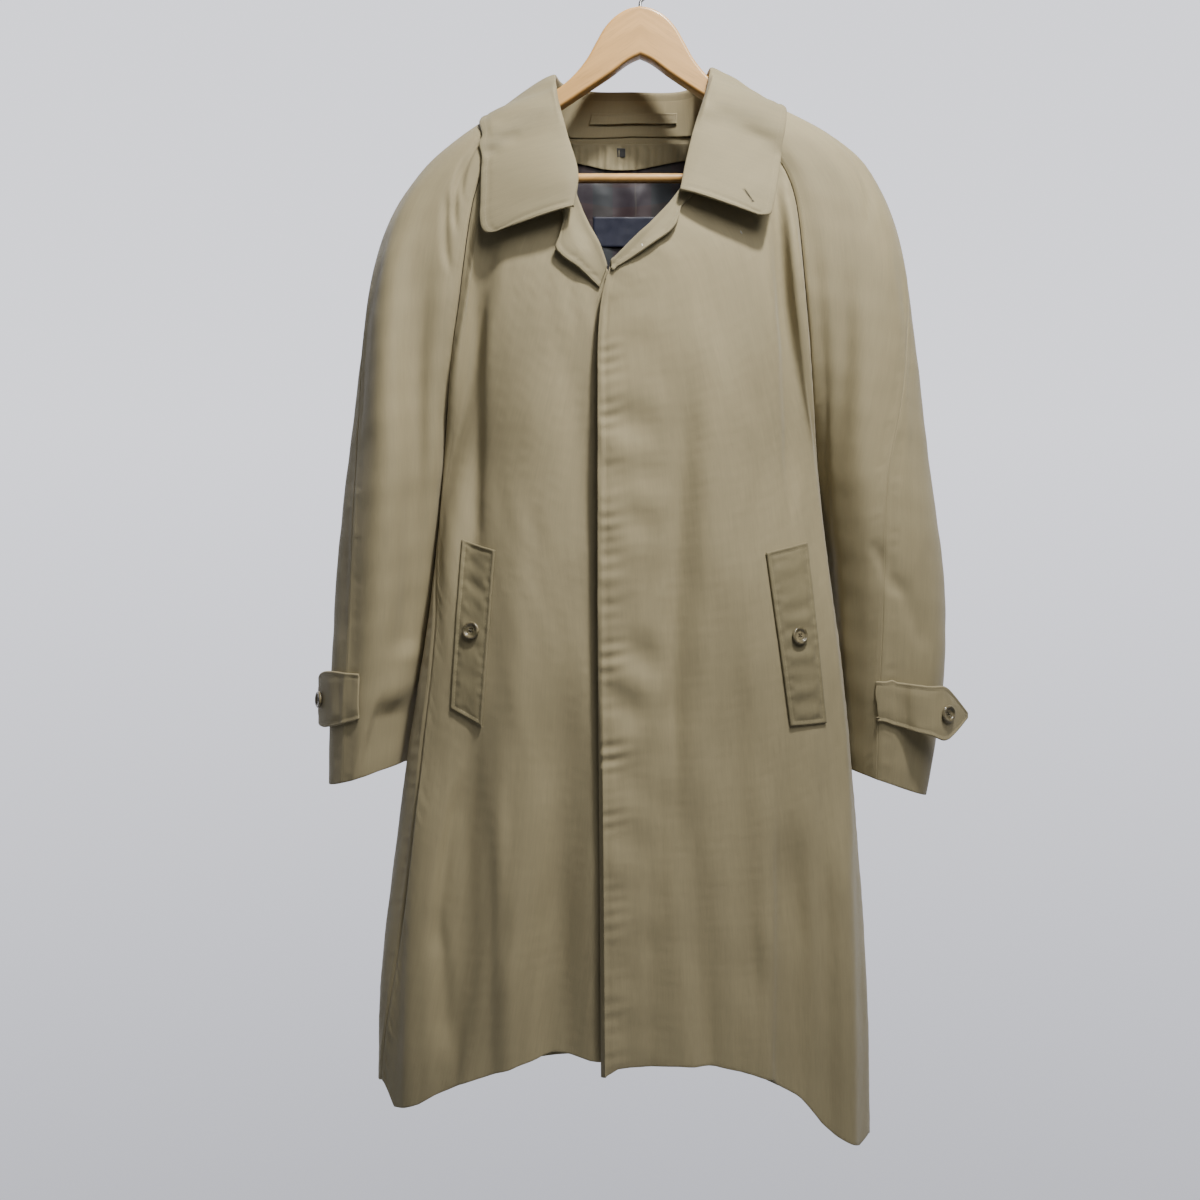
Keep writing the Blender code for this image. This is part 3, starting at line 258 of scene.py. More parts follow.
# Underarm seam of the sleeve, from the armpit to the cuff: it passes just behind the body's side.
UNDERARM = {
    "left": table(
        "at x y z",
        (1.00, 183, 0, -530),
        (1.10, 186, 9, -566),
        (1.26, 190, 19, -620),
        (1.46, 196, 25, -688),
        (1.67, 201, 27, -752),
        (1.86, 206, 27, -806),
        (2.00, 209, 27, -842)),
    "right": table(
        "at x y z",
        (1.00, -201, 0, -530),
        (1.10, -204, 9, -563),
        (1.26, -207, 19, -615),
        (1.50, -215, 25, -692),
        (1.75, -227, 27, -770),
        (2.00, -237, 27, -838)),
}
# Roll line and outer edge of the collar, from the right end (0) round the back to the left end (1).
ROLL_LINE = table(
    "at x y z",
    (0.00, -69, -87, -287),
    (0.09, -65, -78, -250),
    (0.18, -77, -50, -199),
    (0.24, -86, -24, -152),
    (0.28, -89, -3, -128),
    (0.33, -83, 22, -126),
    (0.38, -68, 40, -126),
    (0.49, -6, 52, -125),
    (0.60, 52, 42, -126),
    (0.66, 68, 22, -123),
    (0.71, 74, -3, -120),
    (0.76, 67, -26, -150),
    (0.82, 56, -46, -190),
    (0.91, 46, -66, -232),
    (1.00, 38, -86, -271))
LEAF_EDGE = table(
    "at x y z",
    (0.00, -144, -76, -308),
    (0.02, -154, -74, -308),
    (0.05, -160.5, -69, -297),
    (0.09, -161, -62, -272),
    (0.16, -161, -48, -228),
    (0.23, -160, -22, -186),
    (0.28, -158, 0, -168),
    (0.33, -150, 28, -174),
    (0.38, -126, 50, -184),
    (0.43, -80, 66, -190),
    (0.49, -6, 73, -190),
    (0.55, 68, 66, -190),
    (0.60, 112, 50, -180),
    (0.66, 138, 27, -164),
    (0.71, 144, 0, -157),
    (0.77, 145, -26, -182),
    (0.84, 140, -52, -228),
    (0.91, 132, -77, -268),
    (0.95, 128, -85, -285),
    (0.98, 123.5, -89, -294.5),
    (1.00, 113, -90, -295.5))
# Turned-out tops of the fronts: the roll at the neck opening and the free edge, from the collar down.
LAPEL = {
    "left": table(
        "at roll_x roll_z edge_x edge_z",
        (0.00, 42, -262, 50, -272),
        (0.15, 36, -270, 38.5, -284),
        (0.30, 29, -280, 35, -297),
        (0.45, 17, -295, 28, -310),
        (0.70, -8, -320, -2, -332),
        (1.00, -31, -344, -30, -350)),
    "right": table(
        "at roll_x roll_z edge_x edge_z",
        (0.00, -68, -262, -84, -276),
        (0.15, -65, -273, -78, -293),
        (0.30, -61, -284, -81, -311),
        (0.50, -54, -301, -84, -327),
        (0.75, -43, -322, -62, -346),
        (1.00, -35, -345, -42, -364)),
}
# Folds of the fronts and back: each fold's line goes from x "from" at the height top to x "to" at the
# height foot, width is its half width and rise its height (a hollow is negative).
FOLDS = {
    "front_left": table(
        "from top to foot width rise",
        (58, -380, 88, -760, 28, 5),
        (80, -640, 108, -1060, 22, -9),
        (36, -760, 50, -1170, 20, 5),
        (146, -880, 158, -1220, 16, -9),
        (196, -860, 208, -1240, 18, 6),
        (122, -940, 126, -1180, 14, 5)),
    "front_right": table(
        "from top to foot width rise",
        (-96, -420, -110, -800, 24, 5),
        (-80, -720, -70, -1170, 22, -9),
        (-165, -770, -182, -1120, 16, -8),
        (-136, -800, -146, -1170, 15, 5),
        (-212, -820, -226, -1160, 16, 5)),
    "back": table(
        "from top to foot width rise",
        (-118, -260, -138, -620, 18, -6),
        (110, -260, 128, -600, 18, -6),
        (-60, -300, -96, -1200, 26, 6),
        (44, -420, 78, -1220, 24, 7),
        (-8, -560, -14, -1220, 22, -8),
        (-146, -700, -170, -1230, 20, -9),
        (136, -760, 162, -1250, 20, -9)),
}
# The roll of cloth beside each front raglan seam: its ridge and the hollow next to it.
SEAM_ROLL = table("part width rise", (0.06, 0.035, 5.0), (0.17, 0.055, -6.0))
# Folds of the sleeves, with stations as top and foot, and as from and to places round the section
# (0 at the front raglan seam, 1 on the outer line, 2 at the back seam).
SLEEVE_FOLDS = {
    "left": table(
        "top foot from to width rise",
        (0.42, 1.15, 0.34, 0.20, 0.10, -8),
        (0.50, 1.40, 0.62, 0.52, 0.12, 4),
        (0.95, 1.45, 0.62, 0.20, 0.09, -4),
        (1.25, 1.60, 0.36, 0.84, 0.08, -4),
        (0.45, 1.30, 1.45, 1.60, 0.14, -7),
        (0.90, 1.80, 1.30, 1.25, 0.14, 4)),
    "right": table(
        "top foot from to width rise",
        (0.22, 0.40, 0.72, 0.50, 0.09, -4),
        (0.42, 1.30, 0.42, 0.30, 0.10, -8),
        (0.40, 1.10, 0.66, 0.58, 0.12, 4),
        (1.05, 1.95, 0.24, 0.30, 0.10, -5),
        (0.45, 1.30, 1.45, 1.60, 0.14, -7),
        (0.90, 1.80, 1.30, 1.25, 0.14, 4)),
}
# Pocket welts, a row for the top edge and one for the bottom edge: the edge's middle, half its width
# and how far its outer end lies above its middle.
WELTS = {
    "left": table("at x z half rise", (0, 142, -618, 22, 5.7), (1, 163, -793, 19, 1.0)),
    "right": table("at x z half rise", (0, -162, -615, 18, 5.7), (1, -173, -786, 16, 8.3)),
}
# Half outline of the hanger, from its top at the hook, out along the arm and back along its underside.
HANGER_OUTLINE = table(
    "x z",
    (0, -55), (12, -57.5), (24, -64),
    (36, -76), (45, -91), (55, -109),
    (70, -127.5), (80, -136.4), (90, -143.6),
    (100, -149.2), (130, -162.2), (150, -172.2),
    (170, -184.6), (190, -198.3), (205, -212.2),
    (213, -221), (217, -232), (216, -243),
    (210, -247), (203.6, -244), (202.6, -226),
    (196, -222.5), (150, -198), (120, -181.5),
    (88, -163), (60, -144.5), (30, -124.5),
    (8, -109), (0, -105.5))
# The collar: its stand, and how the leaf turns over.
GORGE = {"left": 0.24, "right": 0.26}   # where the stand ends on the neckline of each front
STAND_LIFT = 1.0        # of the stand above the neckline's edge, and in from it
NECK_MIDDLE = np.array((-8.0, -6.0, -160.0))
STAND_WALL = 2.2
STAND_ENDS = (0.075, 0.925)     # where the stand starts and ends along the collar
ROLL_TURN = 9.0         # how far out the leaf turns over, behind
ROLL_SPREAD = 14.0      # how much farther out it turns in front
LEAF_SWELL = 9.0        # how far the front of the leaf stands off the chest
# What shows inside the neck.
NECK_FACING = {"left": 62.0, "right": -72.0, "top": -178.0, "foot": -201.0, "wave": 5.0}
LINING = {"left": 98.0, "right": -112.0, "foot": -400.0}
NECK_LABEL = {"x": -9.0, "z": -271.0, "width": 80.0, "height": 32.0}
SIZE_TAB = {"x": -19.0, "z": -187.0, "width": 9.0, "height": 9.0}
HANG_LOOP = {"top": 8 / 15, "foot": 4 / 15, "ends": (0.425, 0.575), "bow": 1.2, "wall": 1.6,
             "topstitch": 2.4}
BAR_HALF = 202.3        # half the bar's length, to the lugs of the arms
HOOK_FOOT = -54.6
# Cuff tabs: the path of the top edge and of the bottom edge, from the overarm seam to the tip.
CUFF_TAB = {
    "left": table(
        "at x y top foot",
        (0.00, 230, -62, -752, -793),
        (0.20, 250, -69, -753, -797),
        (0.40, 270, -69, -754, -801),
        (0.60, 290, -60, -756, -806),
        (0.75, 304, -50, -757, -811),
        (0.88, 318, -40, -770, -802),
        (1.00, 331, -31, -785, -789)),
    "right": table(
        "at x y top foot",
        (0.00, -284, -54, -744, -790),
        (0.20, -301, -46, -743, -795),
        (0.40, -317, -30, -742, -799),
        (0.60, -328, -10, -744, -801),
        (0.78, -333, 8, -752, -797),
        (0.90, -335, 20, -762, -785),
        (1.00, -335, 29, -771, -775)),
}
TAB_FREE = (0.25, 0.75)     # where along the tab it leaves the sleeve
TAB_BUTTON_COLUMN = {"left": 6, "right": 5}
CREASE = "top foot from to bend width skew rise"


class Side(Enum):
    """The wearer's side of a piece."""

    LEFT = "left"
    RIGHT = "right"

    @property
    def lean(self) -> float:
        """+1 towards the wearer's left, -1 towards the right."""
        return 1.0 if self is Side.LEFT else -1.0


class Edge(Enum):
    """An edge of a grid of points: the axis across it, and whether it is the last one along that axis."""

    TOP = (0, False)
    FOOT = (0, True)
    FIRST = (1, False)
    LAST = (1, True)


def smooth(rows: Table, column: str, where: np.ndarray) -> np.ndarray:
    """A table's column between its rows, on cubic arcs.

    On a span of length h, with t from 0 to 1, the arc is (1+2t)(1-t)^2 a + t(1-t)^2 h a'
    + t^2(3-2t) b + t^2(t-1) h b', where the slopes a' and b' are the means of their two sides.

    Args:
        rows: The table, whose column "at" has the stations.
        column: The column that is read.
        where: The stations at which it is read.

    Returns:
        The column's value at each station.
    """
    at = rows["at"]
    value = rows[column]
    slope = np.gradient(value, at)
    where = np.clip(np.asarray(where, dtype=float), at[0], at[-1])
    row = np.clip(np.searchsorted(at, where, side="right") - 1, 0, len(at) - 2)
    span = at[row + 1] - at[row]
    part = (where - at[row]) / span
    start = (1 + 2 * part) * (1 - part) ** 2 * value[row] + part * (1 - part) ** 2 * span * slope[row]
    end = part ** 2 * (3 - 2 * part) * value[row + 1] + part ** 2 * (part - 1) * span * slope[row + 1]
    return start + end


def point_on(rows: Table, where: np.ndarray) -> np.ndarray:
    """The x, y and z columns of a table at stations, as points."""
    return np.stack([smooth(rows, axis, where) for axis in "xyz"], axis=-1)


def ease(value: np.ndarray, low: float, high: float) -> np.ndarray:
    """A smooth step: t^2 (3 - 2t), where t goes from 0 at low to 1 at high."""
    part = np.clip((np.asarray(value, dtype=float) - low) / (high - low), 0.0, 1.0)
    return part * part * (3 - 2 * part)


def beyond(value: np.ndarray, limit: float) -> np.ndarray:
    """A step from 0 to 1 that is 2 mm wide, at a limit."""
    return ease(value, limit - 1, limit + 1)


def bell(value: np.ndarray, middle: float, width: float) -> np.ndarray:
    """A soft bump: exp(-((value - middle) / width)^2)."""
    return np.exp(-((value - middle) / width) ** 2)


def turned_edge(inset: np.ndarray, ridge: Swell, groove: Swell) -> np.ndarray:
    """The height of a turned and stitched edge: a soft ridge, less the groove of its stitches."""
    return ridge[0] * bell(inset, *ridge[1:]) - groove[0] * bell(inset, *groove[1:])


def unit(vectors: np.ndarray) -> np.ndarray:
    """The vectors, made one long."""
    return vectors / np.maximum(np.linalg.norm(vectors, axis=-1, keepdims=True), 1e-9)


def between(first: np.ndarray, last: np.ndarray, count: int) -> np.ndarray:
    """Evenly spread grid columns between two edges: an array with one more axis."""
    part = np.linspace(0.0, 1.0, count)
    return np.asarray(first)[..., None] * (1 - part) + np.asarray(last)[..., None] * part


def spread(count: int, first: tuple[float, ...] = (), last: tuple[float, ...] = ()) -> np.ndarray:
    """Even parts from 0 to 1 with some more close to either end.

    Args:
        count: How many even parts there are, both ends included.
        first: More parts, measured from 0.
        last: More parts, measured back from 1.

    Returns:
        All the parts in rising order.
    """
    parts = np.concatenate([np.linspace(0.0, 1.0, count), np.array(first), 1.0 - np.array(last)])
    return np.unique(np.round(parts, 6))


@dataclass(frozen=True)
class Ripples:
    """Soft unevenness: a sum of sine waves whose directions and lengths are spread about a mean.

    height(u, v) = sum of sin(2 pi (u cos a + v sin a) / wave + phase) / sqrt(count), where a lies within
    half of turn from direction and each wave within a third of the mean.
    """

    wave: float
    direction: float = 0.0
    turn: float = 2 * math.pi
    count: int = 7
    seed: int = 1

    def height(self, u: np.ndarray, v: np.ndarray) -> np.ndarray:
        """The height of the waves.

        Args:
            u: Places along the first direction, in millimetres.
            v: Places along the second direction.

        Returns:
            The height at each place, mostly between -1 and 1.
        """
        draw = np.random.default_rng(self.seed)
        total = np.zeros(np.broadcast(u, v).shape)
        for _ in range(self.count):
            angle = self.direction + self.turn * (draw.random() - 0.5)
            wave = self.wave * (0.67 + 0.66 * draw.random())
            phase = 2 * math.pi * draw.random()
            total += np.sin(2 * math.pi * (u * math.cos(angle) + v * math.sin(angle)) / wave + phase)
        return total / math.sqrt(self.count)


def creases(rows: Table, across: np.ndarray, along: np.ndarray,
            fade: tuple[float, float, float] = (0.3, 0.75, 1.05)) -> np.ndarray:
    """The height of folds that are listed in a table.

    Fold by fold: rise * ends(t) * exp(-(d / w)^2), where t goes from 0 to 1 down the fold, d is the distance
    from its line, whose middle is bowed aside by bend, and w is width (1 + skew) on the far side of the
    line and width (1 - skew) on the near side.

    Args:
        rows: Columns top, foot (places along), from, to (places across), width and rise, and, where the
            folds have them, bend and skew.
        across: Each point's place across.
        along: Each point's place along.
        fade: The t where a fold has its full rise, and those between which it fades out again.

    Returns:
        The height at each point.
    """
    height = np.zeros(np.broadcast(across, along).shape)
    none = np.zeros_like(rows["rise"])
    columns = [rows.get(name, none) for name in CREASE.split()]
    for top, foot, start, end, bend, width, skew, rise in zip(*columns):
        run = (along - top) / (foot - top)
        line = start + (end - start) * run + bend * np.sin(math.pi * np.clip(run, 0.0, 1.0))
        reach = width * (1 + skew * np.tanh((across - line) / width))
        ends = ease(run, 0.0, fade[0]) * (1 - ease(run, *fade[1:]))
        height += rise * ends * bell((across - line) / reach, 0.0, 1.0)
    return height


@dataclass
class Grid:
    """One face of a piece of cloth: points in rows and columns, and the way that it faces."""

    points: np.ndarray
    facing: tuple[float, float, float]

    def turned(self) -> float:
        """+1 where the cross product of the row and column steps is on the side that the grid faces."""
        normal = np.cross(np.gradient(self.points, axis=0), np.gradient(self.points, axis=1))
        return float(np.sign(np.sum(normal * np.array(self.facing))))

    def normals(self) -> np.ndarray:
        """Unit normals on the side that the grid faces: the cross product of its two gradients."""
        normal = np.cross(np.gradient(self.points, axis=0), np.gradient(self.points, axis=1))
        return unit(normal) * self.turned()

    def run(self, axis: int) -> np.ndarray:
        """How far each point lies along its column (axis 0) or its row (axis 1) from the first one."""
        step = np.linalg.norm(np.diff(self.points, axis=axis), axis=-1)
        start = np.zeros_like(step.take([0], axis=axis))
        return np.concatenate([start, np.cumsum(step, axis=axis)], axis=axis)

    def inset(self, edge: Edge) -> np.ndarray:
        """How far each point lies from an edge, along its row or column."""
        axis, last = edge.value
        run = self.run(axis)
        return run.take([-1], axis=axis) - run if last else run

    def nearest(self, *edges: Edge) -> np.ndarray:
        """How far each point lies from the nearest of some edges."""
        return np.minimum.reduce([self.inset(edge) for edge in edges])

    def moved(self, height: np.ndarray | float) -> "Grid":
        """The grid with each point moved out along its normal by a height."""
        return Grid(self.points + self.normals() * np.asarray(height, dtype=float)[..., None], self.facing)

    def flat(self) -> tuple[float, float, float]:
        """The cut's width and length in metres and its area in square metres, laid flat."""
        down = np.diff(self.points, axis=0)[:, :-1]
        over = np.diff(self.points, axis=1)[:-1]
        area = float(np.linalg.norm(np.cross(down, over), axis=-1).sum()) * MM * MM
        return float(self.run(1).max()) * MM, float(self.run(0).max()) * MM, area

    def chart(self) -> np.ndarray:
        """Flat places in metres, from the mean runs across and down, for a weave that follows the cloth."""
        across = self.run(1).mean(axis=0)
        down = self.run(0).mean(axis=1)
        return np.stack(np.meshgrid(across - across.mean(), -down), axis=-1) * MM

    def read(self, values: np.ndarray, row: np.ndarray, column: np.ndarray) -> np.ndarray:
        """Values at fractional rows and columns, bilinear between the grid's points."""
        rows, columns = values.shape[:2]
        row = np.clip(row, 0, rows - 1.001)
        column = np.clip(column, 0, columns - 1.001)
        first = row.astype(int)
        start = column.astype(int)
        shape = first.shape + (1,) * (values.ndim - 2)
        down = (row - first).reshape(shape)
        over = (column - start).reshape(shape)
        upper = values[first, start] * (1 - over) + values[first, start + 1] * over
        lower = values[first + 1, start] * (1 - over) + values[first + 1, start + 1] * over
        return upper * (1 - down) + lower * down

    def spot(self, row: np.ndarray, column: np.ndarray) -> tuple[np.ndarray, np.ndarray]:
        """Points and unit normals at fractional rows and columns."""
        return self.read(self.points, row, column), unit(self.read(self.normals(), row, column))

    def near(self, ends: tuple[tuple[float, float], ...]) -> "Trail":
        """A line on the part that faces the front, through the points nearest to given x and z."""
        away = 1e6 * (self.normals()[..., 1] > -0.2)
        spots = []
        for x, z in ends:
            apart = (self.points[..., 0] - x) ** 2 + (self.points[..., 2] - z) ** 2 + away
            spots.append(np.unravel_index(np.argmin(apart), apart.shape))
        rows, columns = (np.linspace(spots[0][axis], spots[-1][axis], 12) for axis in (0, 1))
        return Trail(*self.spot(rows, columns))

    def line(self, edge: Edge, distance: float, margin: tuple[float, float] = (0.0, 0.0)) -> "Trail":
        """The line on the grid that runs at a distance inside an edge.

        Args:
            edge: The edge that the line follows.
            distance: How far inside it the line runs, in millimetres.
            margin: How far from the ends of the line it starts and stops.

        Returns:
            The line's points and normals.
        """
        axis, last = edge.value
        inset = self.inset(edge) if axis == 1 else self.inset(edge).T
        inset = inset[:, ::-1] if last else inset
        far = np.maximum(np.argmax(inset >= distance, axis=1), 1)
        number = np.arange(len(inset))
        near = inset[number, far - 1]
        place = far - 1 + (distance - near) / np.maximum(inset[number, far] - near, 1e-9)
        place = inset.shape[1] - 1 - place if last else place
        spots = (number.astype(float), place) if axis == 1 else (place, number.astype(float))
        trail = Trail(*self.spot(*spots))
        return trail.cut(*margin)


@dataclass
class Trail:
    """A line on cloth: its points and the cloth's normals."""

    points: np.ndarray
    normals: np.ndarray

    def run(self) -> np.ndarray:
        """How far along the line each point lies."""
        step = np.linalg.norm(np.diff(self.points, axis=0), axis=1)
        return np.concatenate([[0.0], np.cumsum(step)])

    def at(self, where: np.ndarray) -> "Trail":
        """The line's points and normals at distances along it."""
        run = self.run()
        both = [np.stack([np.interp(where, run, values[:, axis]) for axis in range(3)], axis=1)
                for values in (self.points, self.normals)]
        return Trail(both[0], unit(both[1]))

    def cut(self, start: float, end: float) -> "Trail":
        """The line without a length at its start and one at its end."""
        length = float(self.run()[-1])
        count = max(int((length - start - end) / 1.5), 4)
        return self.at(np.linspace(start, length - end, count))


def crease_rows(*rows: tuple[float, ...]) -> Table:
    """A table of folds, with the columns that creases() reads."""
    return table(CREASE, *rows)


def mesh_of(name: str, points: np.ndarray, quads: np.ndarray, triangles: np.ndarray | None = None,
            chart: np.ndarray | None = None, sharp: float = 50.0) -> bpy.types.Mesh:
    """A smooth-shaded mesh with a crease wherever its faces turn by more than an angle.

    Args:
        name: The mesh's name.
        points: The vertices, in millimetres.
        quads: Four vertices for each quad.
        triangles: Three vertices for each triangle.
        chart: Flat places of the vertices, in metres, for the UV map.
        sharp: The angle of a crease, in degrees.

    Returns:
        The mesh, in metres.
    """
    triangles = np.zeros((0, 3), dtype=int) if triangles is None else triangles
    corners = np.concatenate([np.asarray(quads).ravel(), np.asarray(triangles).ravel()]).astype(np.int32)
    sizes = np.concatenate([np.full(len(quads), 4), np.full(len(triangles), 3)])
    mesh = bpy.data.meshes.new(name)
    mesh.vertices.add(len(points))
    mesh.vertices.foreach_set("co", (points * MM).astype(np.float32).ravel())
    mesh.loops.add(len(corners))
    mesh.loops.foreach_set("vertex_index", corners)
    mesh.polygons.add(len(sizes))
    mesh.polygons.foreach_set("loop_start", np.concatenate([[0], np.cumsum(sizes)[:-1]]).astype(np.int32))
    mesh.update(calc_edges=True)
    if chart is not None:
        layer = mesh.uv_layers.new(name="chart")
        layer.data.foreach_set("uv", chart[corners].astype(np.float32).ravel())
    mesh.shade_smooth()
    mesh.set_sharp_from_angle(angle=math.radians(sharp))
    return mesh


def shown(name: str, mesh: bpy.types.Mesh, *finishes: "Finish") -> bpy.types.Object:
    """An object of a mesh in the scene's collection, riding on the coat's one body.

    Args:
        name: The piece's name.
        mesh: Its mesh, placed by its vertices.
        finishes: The finish of each material index.

    Returns:
        The object.
    """
    piece = bpy.data.objects.new(name, mesh)
    bpy.context.scene.collection.objects.link(piece)
    for finish in finishes:
        mesh.materials.append(finish.material())
    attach(piece, "root")
    LOG.info("%s: %d triangles", name, sum(len(face.vertices) - 2 for face in mesh.polygons))
    return piece


@dataclass
class Cloth:
    """A piece of cloth: a face, a thickness, rounded edges, and a finish for each side."""

    name: str
    grid: Grid
    thickness: np.ndarray | float
    finish: "Finish"
    inside: "Finish | None" = None
    lined: np.ndarray | None = None
    overlap: float = 0.0
    lip_steps: tuple[float, ...] = (45.0, 90.0, 135.0)

    def fit(self, held: str, *rests_on: str) -> None:
        """Build the piece over its CAD node and state its flat cut, measured on its grid.

        Args:
            held: How it is held; not used.
            rests_on: The names of what it hangs from or lies on; not used.
        """
        piece = self.build()
        width, length, area = self.grid.flat()
        area = min(area, width * length)
        LOG.info("%s: cut %.0f x %.0f mm, %.4f m2", piece.name, width / MM, length / MM, area)

    def build(self) -> bpy.types.Object:
        """The closed piece over its CAD node. A lip's point at an angle a is c + r (n cos a + e sin a).

        c is half the thickness r inside the edge and under the outside, n the normal and e the way out of
        the edge along the cloth.
        """
        rows, columns = self.grid.points.shape[:2]
        normals = self.grid.normals()
        thickness = np.broadcast_to(np.asarray(self.thickness, dtype=float), (rows, columns))
        ring = self.rim(rows, columns)
        outward = self.outward()
        radius = thickness / 2
        outer = self.grid.points - outward * (radius - self.overlap)[..., None]
        inner = outer - normals * thickness[..., None]
        middle = (outer + inner)[ring] / 2
        turn = np.radians(np.array(self.lip_steps))[:, None, None]
        lips = middle + radius[ring][:, None] * (normals[ring] * np.cos(turn) + outward[ring] * np.sin(turn))
        points = np.concatenate([outer.reshape(-1, 3), inner.reshape(-1, 3), lips.reshape(-1, 3)])
        chart = self.grid.chart()
        charts = np.concatenate([chart.reshape(-1, 2)] * 2 + [chart[ring]] * len(self.lip_steps))
        quads = self.quads(rows, columns, ring)
        name = self.name + "_cloth"
        mesh = mesh_of(name, points, quads, chart=charts, sharp=70.0)
        if self.inside is None:
            piece = shown(name, mesh, self.finish)
        else:
            index = np.zeros(len(quads), dtype=np.int32)
            cells = (rows - 1) * (columns - 1)
            index[cells:2 * cells] = self.lined[:-1, :-1].ravel()
            mesh.polygons.foreach_set("material_index", index)
            piece = shown(name, mesh, self.finish, self.inside)
        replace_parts(piece, self.name)
        return piece

    def outward(self) -> np.ndarray:
        """At each point of the border, the way out of it along the cloth; nothing elsewhere."""
        points = self.grid.points
        out = np.zeros_like(points)
        for axis in (0, 1):
            edge = np.moveaxis(points, axis, 0)
            turned = np.moveaxis(out, axis, 0)
            turned[0] += unit(edge[0] - edge[1])
            turned[-1] += unit(edge[-1] - edge[-2])
        return out

    @staticmethod
    def rim(rows: int, columns: int) -> tuple[np.ndarray, np.ndarray]:
        """The rows and columns of the border's points, once round."""
        down = np.arange(rows)
        over = np.arange(columns)
        row = np.concatenate([0 * over[:-1], down[:-1], 0 * over[1:] + rows - 1, down[:0:-1]])
        column = np.concatenate([over[:-1], 0 * down[:-1] + columns - 1, over[:0:-1], 0 * down[1:]])
        return row, column

    def quads(self, rows: int, columns: int, ring: tuple[np.ndarray, np.ndarray]) -> np.ndarray:
        """The faces of the outside, the inside and the lips, all facing outward."""
        number = np.arange(rows * columns).reshape(rows, columns)
        face = np.stack([number[:-1, :-1], number[:-1, 1:], number[1:, 1:], number[1:, :-1]], axis=-1)
        face = face.reshape(-1, 4)
        border = number[ring]
        count = len(border)
        first = 2 * rows * columns
        rings = [border]
        rings += [first + step * count + np.arange(count) for step in range(len(self.lip_steps))]
        rings += [border + rows * columns]
        lips = [np.stack([upper, lower, np.roll(lower, -1), np.roll(upper, -1)], axis=-1)
                for upper, lower in zip(rings[:-1], rings[1:])]
        quads = np.concatenate([face, face[:, ::-1] + rows * columns, *lips])
        return quads if self.grid.turned() < 0 else quads[:, ::-1]


@dataclass(frozen=True)
class Needle:
    """A row of stitches: short threads, rounded at both ends and sunk a little into the cloth."""

    length: float = 2.7
    gap: float = 0.7
    width: float = 0.48
    height: float = 0.24

    def sew(self, name: str, trails: list[Trail], finish: "Finish") -> bpy.types.Object:
        """Stitches along lines on cloth, as one piece.

        A stitch is a closed spindle of ten points: a tip at each end and two rings of four. Its points are
        p + x length a + y width b + z height n, where a runs along the line, n is the cloth's normal and
        b is across both.

        Args:
            name: The piece's name.
            trails: The lines to sew.
            finish: The thread's finish.

        Returns:
            The object.
        """
        middles, along, normals = [], [], []
        for trail in trails:
            length = float(trail.run()[-1])
            count = max(int(length / (self.length + self.gap)), 1)
            where = (np.arange(count) + 0.5) * length / count
            ahead = trail.at(where + 0.5)
            behind = trail.at(where - 0.5)
            middles.append(trail.at(where).points)
            along.append(unit(ahead.points - behind.points))
            normals.append(trail.at(where).normals)
        middle, way, normal = (np.concatenate(parts) for parts in (middles, along, normals))
        side = unit(np.cross(normal, way))
        shape = np.array([(-0.5, 0, -0.2)] + [(x, y, z) for x in (-0.33, 0.33) for y, z in
                         ((-0.5, 0.0), (0.0, 0.6), (0.5, 0.0), (0.0, -0.5))] + [(0.5, 0, -0.2)])
        size = np.array((self.length, self.width, self.height))
        local = shape * size
        points = (middle[:, None] + local[None, :, 0, None] * way[:, None]
                  + local[None, :, 1, None] * side[:, None] + local[None, :, 2, None] * normal[:, None])
        sides = np.array([(1 + k, 1 + (k + 1) % 4, 5 + (k + 1) % 4, 5 + k) for k in range(4)])
        tips = np.array([(0, 1 + (k + 1) % 4, 1 + k) for k in range(4)]
                        + [(9, 5 + k, 5 + (k + 1) % 4) for k in range(4)])
        start = (np.arange(len(middle)) * 10)[:, None, None]
        quads = (sides[None] + start).reshape(-1, 4)[:, ::-1]
        triangles = (tips[None] + start).reshape(-1, 3)[:, ::-1]
        mesh = mesh_of(name, points.reshape(-1, 3), quads, triangles)
        return shown(name, mesh, finish)


